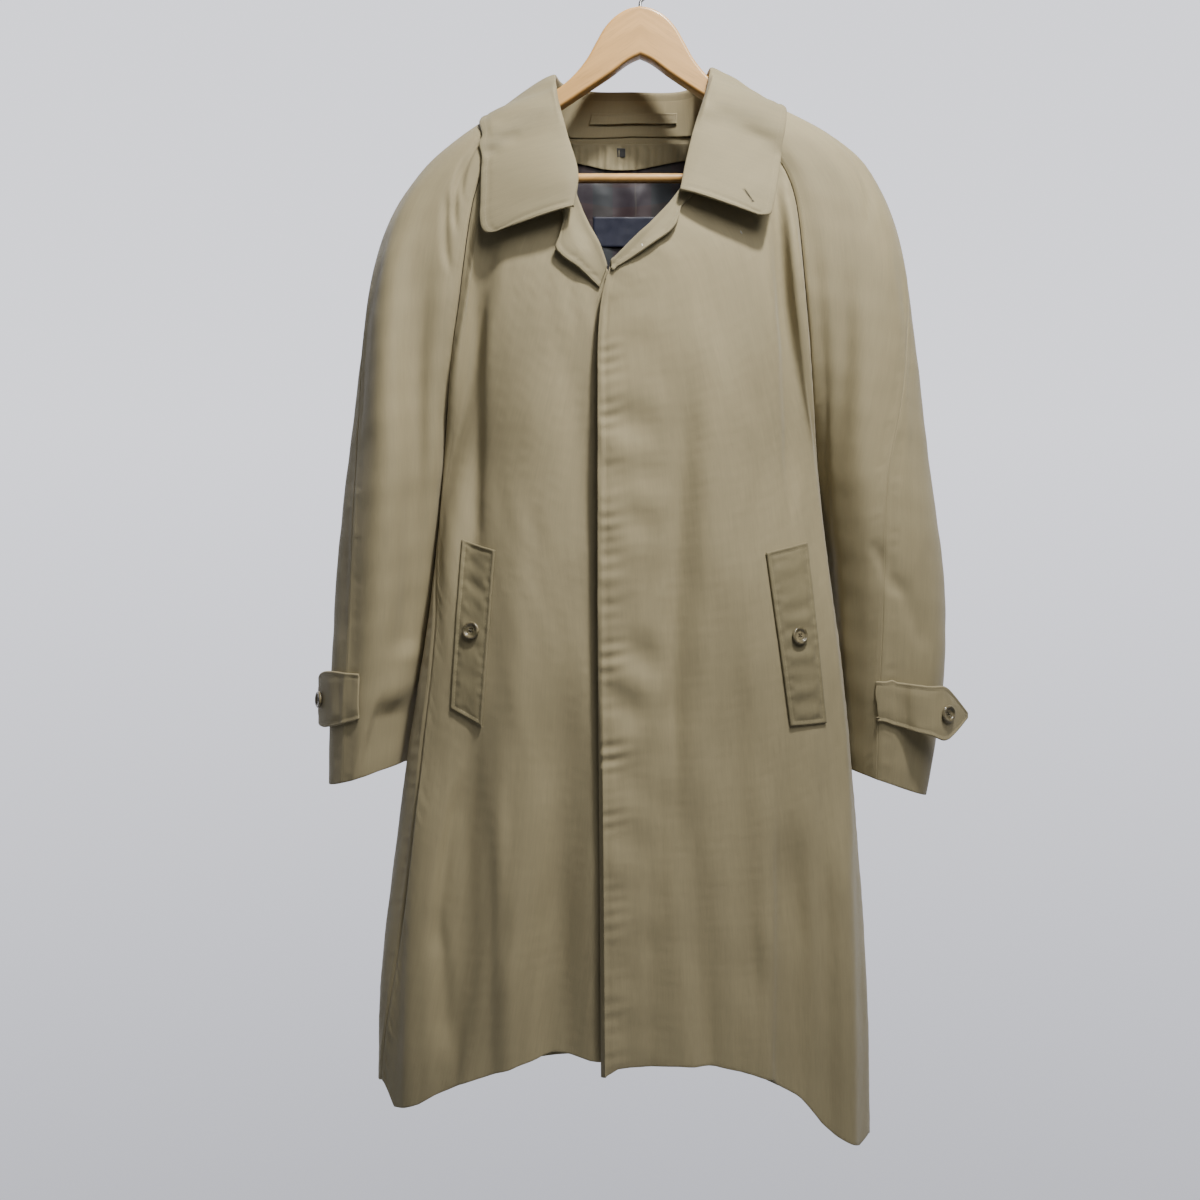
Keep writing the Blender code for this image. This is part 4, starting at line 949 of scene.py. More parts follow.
# Soft folds that the broader folds above don't have. On the fronts and the back top and foot are heights
# and from and to are x; on the sleeves they are stations and places round the section.
FINE_FOLDS = {
    "front_left": crease_rows(
        (-120, -620, 130, 152, 1, 8, 0.0, -6.0),
        (-120, -920, 127, 210, 3, 7, 0.0, 6.5),
        (-340, -800, 72, 74, -4, 34, 0.35, 4.5),
        (-400, -1120, 54, 62, -26, 13, 0.2, -7.0),
        (-800, -1250, 46, 70, 0, 10, 0.0, -5.5),
        (-500, -900, 112, 118, 4, 12, 0.0, -2.2),
        (-720, -960, 34, 24, -8, 15, 0.5, -3.5),
        (-860, -1260, 56, 74, 6, 11, 0.3, -3.5),
        (-820, -1600, 104, 112, 4, 24, 0.0, 4.5),
        (-720, -1500, 141, 138, -3, 14, 0.4, -8.0),
        (-760, -1500, 177, 184, 4, 11, 0.0, -6.5),
        (-640, -1500, 200, 206, 4, 9, 0.0, 4.0),
        (-420, -620, 112, 116, 3, 12, 0.0, -1.6),
        (-980, -1300, 88, 96, 0, 9, 0.2, -2.2),
        (-640, -1700, -42, -42, 0, 40, 0.0, 9.0),
        (-900, -1300, 8, 4, 2, 10, 0.3, -2.2)),
    "front_right": crease_rows(
        (-270, -680, -166, -170, 0, 10, 0.0, -7.0),
        (-260, -720, -188, -192, 0, 9, 0.0, 3.5),
        (-350, -1500, -122, -118, -3, 22, 0.0, 4.5),
        (-390, -620, -76, -54, 3, 13, 0.0, -2.4),
        (-860, -1300, -90, -86, 0, 18, 0.2, -4.0),
        (-830, -1020, -174, -204, -5, 9, 0.4, -6.0),
        (-970, -1120, -204, -194, 3, 9, -0.2, -5.0),
        (-800, -1400, -132, -132, 3, 9, 0.1, 3.5),
        (-820, -1040, -128, -134, 0, 8, 0.2, -4.5),
        (-860, -1400, -150, -152, 3, 9, 0.0, -4.0),
        (-640, -1700, -42, -42, 0, 44, 0.0, 9.0),
        (-480, -900, -104, -98, -5, 12, 0.0, -1.8),
        (-1010, -1400, -172, -178, 2, 9, 0.2, 3.0),
        (-700, -1300, -222, -240, 2, 10, 0.0, 3.0),
        (-980, -1400, -96, -92, 0, 8, 0.0, -2.4)),
    "back": crease_rows(
        (-300, -800, -96, -120, 5, 15, 0.2, 3.0),
        (-420, -1500, 12, 22, -6, 16, 0.0, 3.6),
        (-640, -1500, -40, -52, 4, 13, 0.3, -4.0),
        (-560, -1500, 100, 118, 5, 14, -0.2, -4.0),
        (-860, -1500, 150, 176, 3, 10, 0.3, 4.0),
        (-820, -1500, -190, -214, 3, 10, 0.3, -4.0),
        (-900, -1500, 60, 66, 0, 11, 0.0, 3.0)),
    "sleeve_left": crease_rows(
        (0.30, 1.72, 0.10, 0.12, 0.0, 0.06, 0.0, -5.0),
        (0.30, 2.10, 0.34, 0.38, 0.02, 0.09, 0.0, 4.5),
        (0.24, 0.50, 0.80, 0.52, 0.02, 0.06, 0.3, -2.4),
        (0.50, 1.10, 0.74, 0.70, 0.02, 0.06, 0.0, -1.6),
        (1.22, 1.40, 0.40, 0.50, 0.0, 0.04, 0.3, -2.2),
        (1.32, 1.56, 0.50, 0.67, 0.0, 0.05, 0.3, -2.6),
        (1.20, 2.40, 0.66, 0.66, 0.0, 0.05, 0.0, -1.8),
        (1.05, 1.55, 1.50, 1.16, 0.0, 0.08, 0.0, -2.6),
        (0.40, 1.50, 1.28, 1.34, 0.02, 0.08, 0.0, 2.6)),
    "sleeve_right": crease_rows(
        (0.34, 1.80, 0.29, 0.30, 0.0, 0.085, 0.0, -6.0),
        (0.30, 2.40, 0.53, 0.52, 0.0, 0.10, 0.0, 4.5),
        (0.26, 1.60, 0.76, 0.78, 0.02, 0.08, 0.0, -2.4),
        (0.16, 0.34, 0.40, 0.14, 0.02, 0.04, 0.2, -4.0),
        (0.24, 0.42, 0.36, 0.12, 0.0, 0.035, 0.0, -4.0),
        (0.34, 0.52, 0.32, 0.12, 0.0, 0.035, 0.2, -3.6),
        (1.55, 1.80, 0.26, 0.36, 0.0, 0.10, 0.0, 4.0),
        (1.05, 1.55, 1.50, 1.16, 0.0, 0.08, 0.0, -2.6),
        (0.40, 1.50, 1.28, 1.34, 0.02, 0.08, 0.0, 2.6)),
}


class Nodes:
    """A short way to lay out a material's nodes."""

    def __init__(self, name: str) -> None:
        """Start a material with one Principled shader."""
        self.made = bpy.data.materials.new(name)
        self.made.use_nodes = True
        self.tree = self.made.node_tree
        self.shader = self.tree.nodes["Principled BSDF"]

    def add(self, kind: str, inputs: dict[str, object] | None = None, **settings: object) -> bpy.types.Node:
        """Add a node.

        Args:
            kind: The node's type, without its ShaderNode prefix.
            inputs: For each input, a value or the output socket that is linked to it.
            settings: The node's own settings.

        Returns:
            The node.
        """
        node = self.tree.nodes.new("ShaderNode" + kind)
        for name, value in settings.items():
            setattr(node, name, value)
        self.join(node, inputs or {})
        return node

    def join(self, node: bpy.types.Node, inputs: dict[str, object]) -> None:
        """Give a node's inputs values, or links from other nodes."""
        for name, value in inputs.items():
            socket = node.inputs[int(name)] if name.isdigit() else node.inputs[name]
            if isinstance(value, bpy.types.NodeSocket):
                self.tree.links.new(value, socket)
            else:
                socket.default_value = value

    def chart(self, down: float = 1.0) -> bpy.types.NodeSocket:
        """The piece's own flat places, with those down the cloth multiplied."""
        chart = self.add("UVMap", uv_map="chart")
        inputs = {"Vector": chart.outputs["UV"], "Scale": (1.0, down, 1.0)}
        return self.add("Mapping", inputs).outputs["Vector"]

    def space(self) -> bpy.types.NodeSocket:
        """Places in the coat's own space."""
        return self.add("TexCoord").outputs["Object"]

    def valued(self, colour: bpy.types.NodeSocket, value: bpy.types.NodeSocket) -> bpy.types.NodeSocket:
        """A colour made lighter or darker by a value about one."""
        return self.add("HueSaturation", {"Color": colour, "Value": value}).outputs["Color"]

    def noise(self, place: bpy.types.NodeSocket, scale: float, detail: float = 2.0) -> bpy.types.NodeSocket:
        """Noise between 0 and 1 at a scale."""
        inputs = {"Vector": place, "Scale": scale, "Detail": detail}
        return self.add("TexNoise", inputs).outputs["Fac"]

    def ramp(self, value: bpy.types.NodeSocket, low: float, high: float,
             start: float = 0.0, end: float = 1.0) -> bpy.types.NodeSocket:
        """A value stretched from one range to another and held inside it."""
        inputs = {"Value": value, "From Min": low, "From Max": high, "To Min": start, "To Max": end}
        return self.add("MapRange", inputs).outputs["Result"]

    def blend(self, part: bpy.types.NodeSocket | float, first: object, last: object) -> bpy.types.NodeSocket:
        """A mix of two colours."""
        inputs = {"0": part, "6": first, "7": last}
        return self.add("Mix", inputs, data_type="RGBA").outputs[2]

    def math(self, kind: str, first: object, last: object = 0.0) -> bpy.types.NodeSocket:
        """The result of one sum on two values."""
        return self.add("Math", {"0": first, "1": last}, operation=kind).outputs["Value"]

    def bump(self, height: bpy.types.NodeSocket, distance: float, strength: float = 1.0) -> None:
        """Raise the shader's surface by a height times a distance in metres."""
        inputs = {"Height": height, "Distance": distance, "Strength": strength}
        self.join(self.shader, {"Normal": self.add("Bump", inputs).outputs["Normal"]})


def rgba(colour: Colour, share: float = 1.0) -> tuple[float, float, float, float]:
    """A colour with an alpha of one, made lighter or darker by a share."""
    return (colour[0] * share, colour[1] * share, colour[2] * share, 1.0)


@dataclass(frozen=True)
class Finish:
    """A finish: the record's slot it stands for, and how its material is made."""

    name: str
    slot: str
    colour: Colour

    def material(self) -> bpy.types.Material:
        """The finish's material, made once and shared."""
        made = bpy.data.materials.get(self.name)
        if made is None:
            nodes = Nodes(self.name)
            self.mix(nodes)
            made = nodes.made
        return made

    def mix(self, nodes: Nodes) -> None:
        """Lay out the material's nodes. Each kind of finish has its own."""
        raise NotImplementedError

    def tone(self, nodes: Nodes, part: bpy.types.NodeSocket, dark: float,
             light: float) -> bpy.types.NodeSocket:
        """The finish's colour, from a darker share of it to a lighter one."""
        return nodes.blend(part, rgba(self.colour, dark), rgba(self.colour, light))


@dataclass(frozen=True)
class Twill(Finish):
    """Tightly woven cotton twill: diagonal ribs, fine slubs down the warp and a soft overall unevenness."""

    pitch: float = 0.00062
    uneven: float = 0.05
    sheen: float = 0.12

    def mix(self, nodes: Nodes) -> None:
        """Ribs and slubs darken the colour and raise the surface."""
        plain = nodes.chart()
        inputs = {"Vector": plain, "Scale": 0.444 / self.pitch, "Distortion": 0.6, "Detail": 1.0}
        ribs = nodes.add("TexWave", inputs, wave_type="BANDS", bands_direction="DIAGONAL").outputs["Fac"]
        slubs = nodes.noise(nodes.chart(0.045), 900.0)
        streaks = nodes.noise(nodes.chart(0.02), 160.0)
        clouds = nodes.noise(plain, 9.0, 3.0)
        light = nodes.ramp(clouds, 0.3, 0.7, 1.0 - self.uneven, 1.0 + self.uneven)
        light = nodes.math("MULTIPLY", light, nodes.ramp(streaks, 0.25, 0.75, 0.965, 1.035))
        light = nodes.math("MULTIPLY", light, nodes.ramp(slubs, 0.2, 0.8, 0.93, 1.07))
        nodes.join(nodes.shader, {"Base Color": nodes.valued(self.tone(nodes, ribs, 0.90, 1.08), light),
                                  "Roughness": nodes.ramp(slubs, 0.2, 0.8, 0.62, 0.78),
                                  "Sheen Weight": self.sheen, "Sheen Roughness": 0.45,
                                  "Specular IOR Level": 0.32})
        nodes.bump(nodes.math("ADD", ribs, slubs), 0.00009, 0.8)


@dataclass(frozen=True)
class Check(Finish):
    """Plain-woven lining with broad bands both ways, crossed by a fine line."""

    band: Colour = (0.003, 0.008, 0.006)
    other: Colour = (0.005, 0.006, 0.016)
    line: Colour = (0.045, 0.034, 0.022)
    repeat: float = 0.064

    def mix(self, nodes: Nodes) -> None:
        """Bands across and down are mixed by halves, as two sets of yarn."""
        plain = nodes.chart()
        parts = nodes.add("SeparateXYZ", {"Vector": plain})
        tones = []
        for axis, band in (("X", self.band), ("Y", self.other)):
            turn = nodes.math("FRACT", nodes.math("DIVIDE", parts.outputs[axis], self.repeat))
            tone = rgba(self.colour)
            for middle, half, colour in ((0.5, 0.17, band), (0.06, 0.012, self.line)):
                apart = nodes.math("ABSOLUTE", nodes.math("SUBTRACT", turn, middle))
                tone = nodes.blend(nodes.math("LESS_THAN", apart, half), tone, rgba(colour))
            tones.append(tone)
        yarns = nodes.add("TexChecker", {"Vector": plain, "Scale": 2200.0})
        grain = nodes.ramp(nodes.noise(plain, 1400.0), 0.3, 0.7, 0.85, 1.15)
        nodes.join(nodes.shader, {"Base Color": nodes.valued(nodes.blend(0.5, *tones), grain),
                                  "Roughness": 0.5, "Sheen Weight": 0.1})
        nodes.bump(yarns.outputs["Fac"], 0.00004, 0.5)


@dataclass(frozen=True)
class Satin(Finish):
    """Closely woven tape or ribbon: fine lines across it and a soft shine."""

    roughness: float = 0.4
    pitch: float = 0.0004

    def mix(self, nodes: Nodes) -> None:
        """Fine lines darken the colour and raise the surface."""
        plain = nodes.chart()
        lines = nodes.add("TexWave", {"Vector": plain, "Scale": 0.314 / self.pitch, "Distortion": 0.3},
                          bands_direction="Y").outputs["Fac"]
        uneven = nodes.ramp(nodes.noise(plain, 120.0), 0.3, 0.7, 0.9, 1.1)
        shine = nodes.ramp(uneven, 0.9, 1.1, self.roughness - 0.05, self.roughness + 0.05)
        nodes.join(nodes.shader, {"Base Color": nodes.valued(self.tone(nodes, lines, 0.8, 1.25), uneven),
                                  "Roughness": shine, "Sheen Weight": 0.15})
        nodes.bump(lines, 0.00004, 0.6)


@dataclass(frozen=True)
class Thread(Finish):
    """Spun sewing thread: it varies along the seam."""

    scale: float = 700.0

    def mix(self, nodes: Nodes) -> None:
        """Noise in the coat's own space varies the colour and the surface."""
        fibre = nodes.noise(nodes.space(), self.scale, 1.0)
        nodes.join(nodes.shader, {"Base Color": self.tone(nodes, nodes.ramp(fibre, 0.3, 0.7), 0.85, 1.15),
                                  "Roughness": 0.6, "Sheen Weight": 0.15})
        nodes.bump(fibre, 0.00005, 0.6)


@dataclass(frozen=True)
class Horn(Finish):
    """Polished horn: cloudy bands from dark to amber."""

    amber: Colour = (0.23, 0.19, 0.11)

    def mix(self, nodes: Nodes) -> None:
        """Two sizes of noise mix the dark and the amber."""
        place = nodes.space()
        broad = nodes.noise(place, 140.0, 3.0)
        fine = nodes.noise(place, 900.0, 1.0)
        cloud = nodes.math("ADD", nodes.math("MULTIPLY", broad, 0.85), nodes.math("MULTIPLY", fine, 0.15))
        tone = nodes.blend(nodes.ramp(cloud, 0.42, 0.62), rgba(self.colour), rgba(self.amber))
        nodes.join(nodes.shader, {"Base Color": tone, "Roughness": nodes.ramp(fine, 0.3, 0.7, 0.2, 0.3),
                                  "Coat Weight": 0.25, "Coat Roughness": 0.12})


@dataclass(frozen=True)
class Beech(Finish):
    """Clear-varnished beech: grain that runs out and down each arm, with short dark flecks."""

    slope: float = 0.62

    def mix(self, nodes: Nodes) -> None:
        """Rings are bands of z + slope |x|; flecks are noise stretched along the arm."""
        parts = nodes.add("SeparateXYZ", {"Vector": nodes.space()})
        out = nodes.math("ABSOLUTE", parts.outputs["X"])
        level = nodes.math("ADD", parts.outputs["Z"], nodes.math("MULTIPLY", out, self.slope))
        along = nodes.math("SUBTRACT", out, nodes.math("MULTIPLY", parts.outputs["Z"], self.slope))
        grain = nodes.add("CombineXYZ", {"X": level, "Y": parts.outputs["Y"],
                                         "Z": nodes.math("MULTIPLY", along, 0.06)}).outputs["Vector"]
        rings = nodes.noise(grain, 95.0, 3.0)
        flecks = nodes.noise(grain, 900.0, 1.0)
        tone = self.tone(nodes, nodes.ramp(rings, 0.35, 0.65), 0.86, 1.08)
        tone = nodes.blend(nodes.ramp(flecks, 0.60, 0.74, 0.0, 0.45), tone, rgba(self.colour, 0.62))
        nodes.join(nodes.shader, {"Base Color": tone, "Roughness": nodes.ramp(rings, 0.3, 0.7, 0.3, 0.4),
                                  "Coat Weight": 0.3, "Coat Roughness": 0.2})
        nodes.bump(flecks, 0.00003, 0.4)


@dataclass(frozen=True)
class Steel(Finish):
    """Bright-plated wire, drawn lengthwise."""

    def mix(self, nodes: Nodes) -> None:
        """Fine noise varies the roughness."""
        drawn = nodes.noise(nodes.space(), 1200.0)
        nodes.join(nodes.shader, {"Base Color": self.tone(nodes, nodes.ramp(drawn, 0.3, 0.7), 0.92, 1.05),
                                  "Roughness": nodes.ramp(drawn, 0.3, 0.7, 0.16, 0.28), "Metallic": 1.0})


@dataclass(frozen=True)
class Painted(Finish):
    """The matt pale paint of a studio floor."""

    def mix(self, nodes: Nodes) -> None:
        """Wide noise varies the colour a little."""
        wide = nodes.noise(nodes.space(), 3.0)
        nodes.join(nodes.shader, {"Base Color": self.tone(nodes, wide, 0.97, 1.02), "Roughness": 0.85})


SHELL_TWILL = Twill("beige_twill", "shell_twill", (0.298, 0.252, 0.145))
# The shell twill darkened, as painted shade on the collar leaf, the lapels and the neck facing.
FACING_SHADE_TWILL = Twill("beige_twill_painted_shade_facing", "facing_twill", (0.25, 0.213, 0.122))
LINING_CLOTH = Check("checked_lining", "lining_cloth", (0.018, 0.005, 0.007))
LABEL_SATIN = Satin("navy_satin", "label_satin", (0.004, 0.006, 0.022))
TAB_BLACK = Satin("black_tape", "tab_black", (0.008, 0.008, 0.008), roughness=0.6)
# The shell twill darkened, as painted shade on the pocket welts.
WELT_SHADE_TWILL = Twill("beige_twill_painted_shade_welt", "shell_twill", (0.20, 0.17, 0.094))
SHELL_THREAD = Thread("shell_thread", "shell_twill", (0.285, 0.242, 0.13))
FACING_THREAD = Thread("facing_thread", "facing_twill", (0.28, 0.24, 0.14))
PALE_THREAD = Thread("pale_thread", "facing_twill", (0.62, 0.60, 0.55))
# Near-black thread that stands for the buttonhole's opening: painted shade.
BUTTONHOLE_SHADE = Thread("painted_shade_slit", "facing_twill", (0.035, 0.028, 0.016))
BUTTON_THREAD = Thread("button_thread", "horn_button", (0.10, 0.08, 0.05))
HORN = Horn("olive_horn", "horn_button", (0.08, 0.068, 0.036))
BEECH = Beech("varnished_beech", "beech", (0.60, 0.335, 0.105))
HOOK_STEEL = Steel("plated_steel", "hook_steel", (0.62, 0.62, 0.60))
FLOOR_PAINT = Painted("floor_paint", "floor", (0.66, 0.68, 0.70))


def side_seam(side: Side, at: np.ndarray) -> np.ndarray:
    """Front raglan seam above the armpit, side seam below it."""
    return point_on(FRONT_SEAM[side.value], at)


def back_seam(side: Side, at: np.ndarray) -> np.ndarray:
    """Back raglan seam above the armpit, side seam below it."""
    return np.where((at < 1.0)[..., None], point_on(BACK_SEAM[side.value], at), side_seam(side, at))


def raised(points: np.ndarray, folds: Table, outward: float, keep: np.ndarray) -> np.ndarray:
    """Points moved to the front or back by the broad folds.

    Args:
        points: The points.
        folds: The folds.
        outward: -1 to move them to the front, +1 to the back.
        keep: The share of the folds that each point takes.

    Returns:
        The moved points.
    """
    moved = points.copy()
    moved[..., 1] += outward * keep * creases(folds, points[..., 0], points[..., 2], (0.22, 0.90, 1.12))
    return moved


def body_rows(seam: np.ndarray, middle: np.ndarray, wrap: np.ndarray, part: np.ndarray, at: np.ndarray,
              hem: Table, foot: tuple[np.ndarray, np.ndarray]) -> np.ndarray:
    """Rows of a body panel from its seam (part 0) to its front edge or centre back (part 1).

    Across, the cloth goes from the seam to the middle as the cosine of the part where it wraps round the
    side, and evenly where it slopes. Its depth is (1 - across ^ FULLNESS) ^ power, and the power falls
    from 1 on a slope to 1 / FULLNESS on a tube.

    Args:
        seam: Points on the seam.
        middle: Points on the front edge or centre back.
        wrap: 0 for an open slope to 1 for a tube.
        part: Parts of the way across.
        at: Stations.
        hem: The hem's height over the parts.
        foot: Where the seam and the middle end: the rows stretch or shrink from there to the hem's height.

    Returns:
        The points.
    """
    across = (1 - wrap) * (1 - part) + wrap * np.cos(part * math.pi / 2)
    power = 1 - wrap * (1 - 1 / FULLNESS)
    depth = np.maximum(1 - across ** FULLNESS, 0.0) ** power
    rows = middle + (seam - middle) * across[..., None]
    rows[..., 1] = seam[..., 1] + (middle[..., 1] - seam[..., 1]) * depth
    level = np.interp(1 - across, hem["part"], hem["z"])
    straight = foot[1][2] + (foot[0][2] - foot[1][2]) * across
    rows[..., 2] += (level - straight) * ease(at, *HEM_REACH)
    return rows


def front_surface(side: Side, at: np.ndarray, part: np.ndarray) -> np.ndarray:
    """The outside of a front, at station at and part 0 (seam) to 1 (front edge)."""
    at, part = np.broadcast_arrays(np.asarray(at, dtype=float), np.asarray(part, dtype=float))
    wrap = smooth(FRONT_SEAM[side.value], "wrap", at)
    foot = (side_seam(side, 2.0), point_on(FRONT_EDGE[side.value], 2.0))
    rows = body_rows(side_seam(side, at), point_on(FRONT_EDGE[side.value], at), wrap, part, at,
                     HEM["front_" + side.value], foot)
    rows[..., 2] -= NECKLINE_DIP * np.sin(math.pi * part) ** 0.7 * (1 - ease(at, 0.0, 0.5))
    keep = ease(part, 0.0, 0.14) * (1 - 0.75 * ease(part, 0.86, 1.0)) * ease(at, 0.02, 0.2)
    if side is Side.RIGHT:
        keep = keep * (1 - 0.7 * ease(rows[..., 0], -55, -35))
    rows = raised(rows, FOLDS["front_" + side.value], -1.0, keep)
    roll = ease(at, 0.22, 0.42) * (1 - ease(at, 0.95, 1.3))
    for middle, width, rise in zip(SEAM_ROLL["part"], SEAM_ROLL["width"], SEAM_ROLL["rise"]):
        rows[..., 1] -= rise * bell(part, middle, width) * roll * ease(part, 0.0, 0.05)
    return rows


def back_surface(side: Side, at: np.ndarray, part: np.ndarray) -> np.ndarray:
    """The outside of the back, at station at and part 0 (seam) to 1 (centre back)."""
    at, part = np.broadcast_arrays(np.asarray(at, dtype=float), np.asarray(part, dtype=float))
    wrap = smooth(FRONT_SEAM[side.value], "wrap", at)
    foot = (side_seam(side, 2.0), point_on(BACK_CENTRE, 2.0))
    rows = body_rows(back_seam(side, at), point_on(BACK_CENTRE, at), wrap, part, at,
                     HEM["back_" + side.value], foot)
    return raised(rows, FOLDS["back"], 1.0, ease(part, 0.0, 0.16) * ease(at, 0.05, 0.3))


def sleeve_surface(side: Side, at: np.ndarray, place: np.ndarray) -> np.ndarray:
    """The outside of a sleeve.

    A row is half an ellipse in front and half behind: its across is sin(a) between its ends, its depth
    is the half's depth times cos(a). The angle a runs from the seam's turn, between 0 at the front and
    a quarter turn back on the inner side, to a quarter turn out on the outer line.

    Args:
        side: The sleeve's side.
        at: Stations, from 0 at the neck to 1 at the armpit and 2 at the cuff.
        place: Places round the section: 0 at the front seam, 1 on the outer line, 2 at the back seam.

    Returns:
        The points.
    """
    at, place = np.broadcast_arrays(np.asarray(at, dtype=float), np.asarray(place, dtype=float))
    line = SLEEVE_LINE[side.value]
    outer = point_on(line, at)
    front = place <= 1.0
    above = (at < 1.0)[..., None]
    under = point_on(UNDERARM[side.value], at)
    seam = np.where(front[..., None], np.where(above, side_seam(side, at), under),
                    np.where(above, back_seam(side, at), under))
    depth = np.where(front, -smooth(line, "front", at), smooth(line, "back", at))
    part = np.where(front, place, 2.0 - place)
    start = -math.pi / 2 * smooth(line, "turn", at)
    angle = start + (math.pi / 2 - start) * part
    across = (np.sin(angle) - np.sin(start)) / (1 - np.sin(start))
    rows = seam + (outer - seam) * across[..., None]
    bow = depth * np.cos(angle)
    rows[..., 1] = (1 - part) * (seam[..., 1] - depth * np.cos(start)) + part * outer[..., 1] + bow
    rows = rows + sleeve_folds(side, at, place, bow)
    rows[..., 0] += side.lean * ARMPIT_GAP * ease(-rows[..., 2], 515.0, 560.0)
    return rows


def sleeve_folds(side: Side, at: np.ndarray, place: np.ndarray, bow: np.ndarray) -> np.ndarray:
    """How far the sleeve's broad folds move each point, outward from the middle of its section.

    Their rise moves a point (0.35 lean sin(pi (place - 0.5) / 1.5), sign of its bow, 0) times that.

    Args:
        side: The sleeve's side.
        at: Stations.
        place: Places round the section.
        bow: How far each point lies in front of or behind the sleeve's middle plane.

    Returns:
        A step for each point.
    """
    rise = creases(SLEEVE_FOLDS[side.value], place, at)
    rise *= ease(place, 0.0, 0.12) * ease(2.0 - place, 0.0, 0.12)
    aside = side.lean * 0.35 * np.sin((place - 0.5) * math.pi / 1.5)
    return np.stack([aside, np.sign(bow), 0 * bow], axis=-1) * rise[..., None]


def settled(points: np.ndarray, passes: int) -> np.ndarray:
    """Rows of cloth eased into each other: pass by pass a point becomes (above + 2 itself + below) / 4."""
    for _ in range(passes):
        points[1:-1] = (points[:-2] + 2 * points[1:-1] + points[2:]) / 4
    return points


@dataclass
class Panel:
    """A panel of the coat: its surface on a grid of stations and parts, and the relief on it.

    sway, dimple and grain are the rises of the cloth's broad, middle and smallest waves.
    """

    name: str
    stations: np.ndarray
    parts: np.ndarray
    facing: tuple[float, float, float]
    surface: Callable[[np.ndarray, np.ndarray], np.ndarray]
    fold_table: str
    seed: int = 1
    passes: int = 70
    sway: float = 1.1
    dimple: float = 0.22
    grain: float = 0.07
    seam_ridge: Swell = (0.35, 4.0, 3.0)
    seam_groove: Swell = (0.2, 9.0, 5.0)
    grid: Grid = field(init=False)
    plain: Grid = field(init=False)

    def __post_init__(self) -> None:
        """Make the plain grid and the one with the relief."""
        self.plain = Grid(self.laid(), self.facing)
        self.grid = self.plain.moved(self.relief())

    def laid(self) -> np.ndarray:
        """The surface, with its rows eased into each other."""
        return settled(self.surface(self.stations[:, None], self.parts), self.passes)

    def relief(self) -> np.ndarray:
        """The height of the fine folds, the seams' edges and the cloth's own unevenness."""
        points = self.plain.points
        down = self.plain.run(0)
        over = self.plain.run(1)
        height = creases(FINE_FOLDS[self.fold_table], points[..., 0], points[..., 2])
        sway = Ripples(95.0, 0.0, 0.5, seed=self.seed).height(over, down * 0.3)
        height += self.sway * sway * ease(down, 60, 400)
        height += self.dimple * Ripples(30.0, 0.0, 2.2, 9, seed=self.seed + 50).height(over, down * 0.55)
        height += self.grain * Ripples(12.0, 0.0, 3.1, 9, seed=self.seed + 90).height(over, down)
        height += self.dressing(down)
        return height * self.off_seams() * ease(down, 0.0, 6.0)

    def off_seams(self) -> np.ndarray:
        """0 on the panel's first and last edge and 1 from a short way inside them."""
        return ease(self.plain.nearest(Edge.FIRST, Edge.LAST), 0.0, 4.0)

    def dressing(self, down: np.ndarray) -> np.ndarray:
        """What the seams of this panel add: a turned edge is a soft ridge with a hollow beyond it."""
        height = np.zeros_like(down)
        for edge in (Edge.FIRST, Edge.LAST):
            inset = self.plain.inset(edge)
            pucker = Ripples(15.0, math.pi / 2, 0.2, 5, seed=self.seed + 7).height(inset * 0.0, down)
            height += turned_edge(inset, self.seam_ridge, self.seam_groove)
            height += 0.16 * pucker * bell(inset, *self.seam_groove[1:])
        return height


@dataclass
class FrontPanel(Panel):
    """A front. Its last edge is the front edge, which is stitched and puckers along the stitches."""

    seam_groove: Swell = (0.2, 9.0, 6.0)
    edge_ridge: Swell = (0.75, 3.5, 3.2)
    edge_groove: Swell = (0.6, 8.5, 1.8)
    pucker: Swell = (0.8, 11.0, 14.0)
    broad: Swell = (1.5, 36.0, 34.0)
    fly: float = 35.0
    fly_hollow: float = 4.5
    fly_reach: float = 55.0

    def dressing(self, down: np.ndarray) -> np.ndarray:
        """A pucker is a short wave that is highest at the stitches; broad ripples run in from them.

        Farther down, a hollow lies along the inner edge of the fly.
        """
        inset = self.plain.inset(Edge.LAST)
        seam = self.plain.inset(Edge.FIRST)
        fade = ease(down, 20.0, 90.0)
        pucker = Ripples(15.0, math.pi / 2, 0.25, 6, seed=self.seed + 3).height(inset * 0.15, down)
        pucker *= 0.7 + 0.5 * Ripples(70.0, math.pi / 2, 0.6, 4, seed=self.seed + 5).height(inset, down)
        broad = Ripples(44.0, math.pi / 2, 2.2, 9, seed=self.seed + 4).height(inset, down)
        height = turned_edge(inset, self.edge_ridge, self.edge_groove)
        for wave, swell, calm in ((pucker, self.pucker, (520.0, 640.0)), (broad, self.broad, (480.0, 560.0))):
            height += swell[0] * wave * bell(inset, *swell[1:]) * fade * (1 - 0.5 * ease(down, *calm))
        reach = np.where(inset < self.fly, self.fly, self.fly_reach)
        hollow = ease(1 - np.abs(inset - self.fly) / reach, 0.0, 1.0)
        height -= self.fly_hollow * hollow * ease(down, 430.0, 560.0)
        side = Ripples(18.0, math.pi / 2, 0.3, 5, seed=self.seed + 8).height(seam * 0.2, down)
        height += turned_edge(seam, self.seam_ridge, self.seam_groove)
        return height + 0.2 * side * bell(seam, *self.seam_groove[1:])


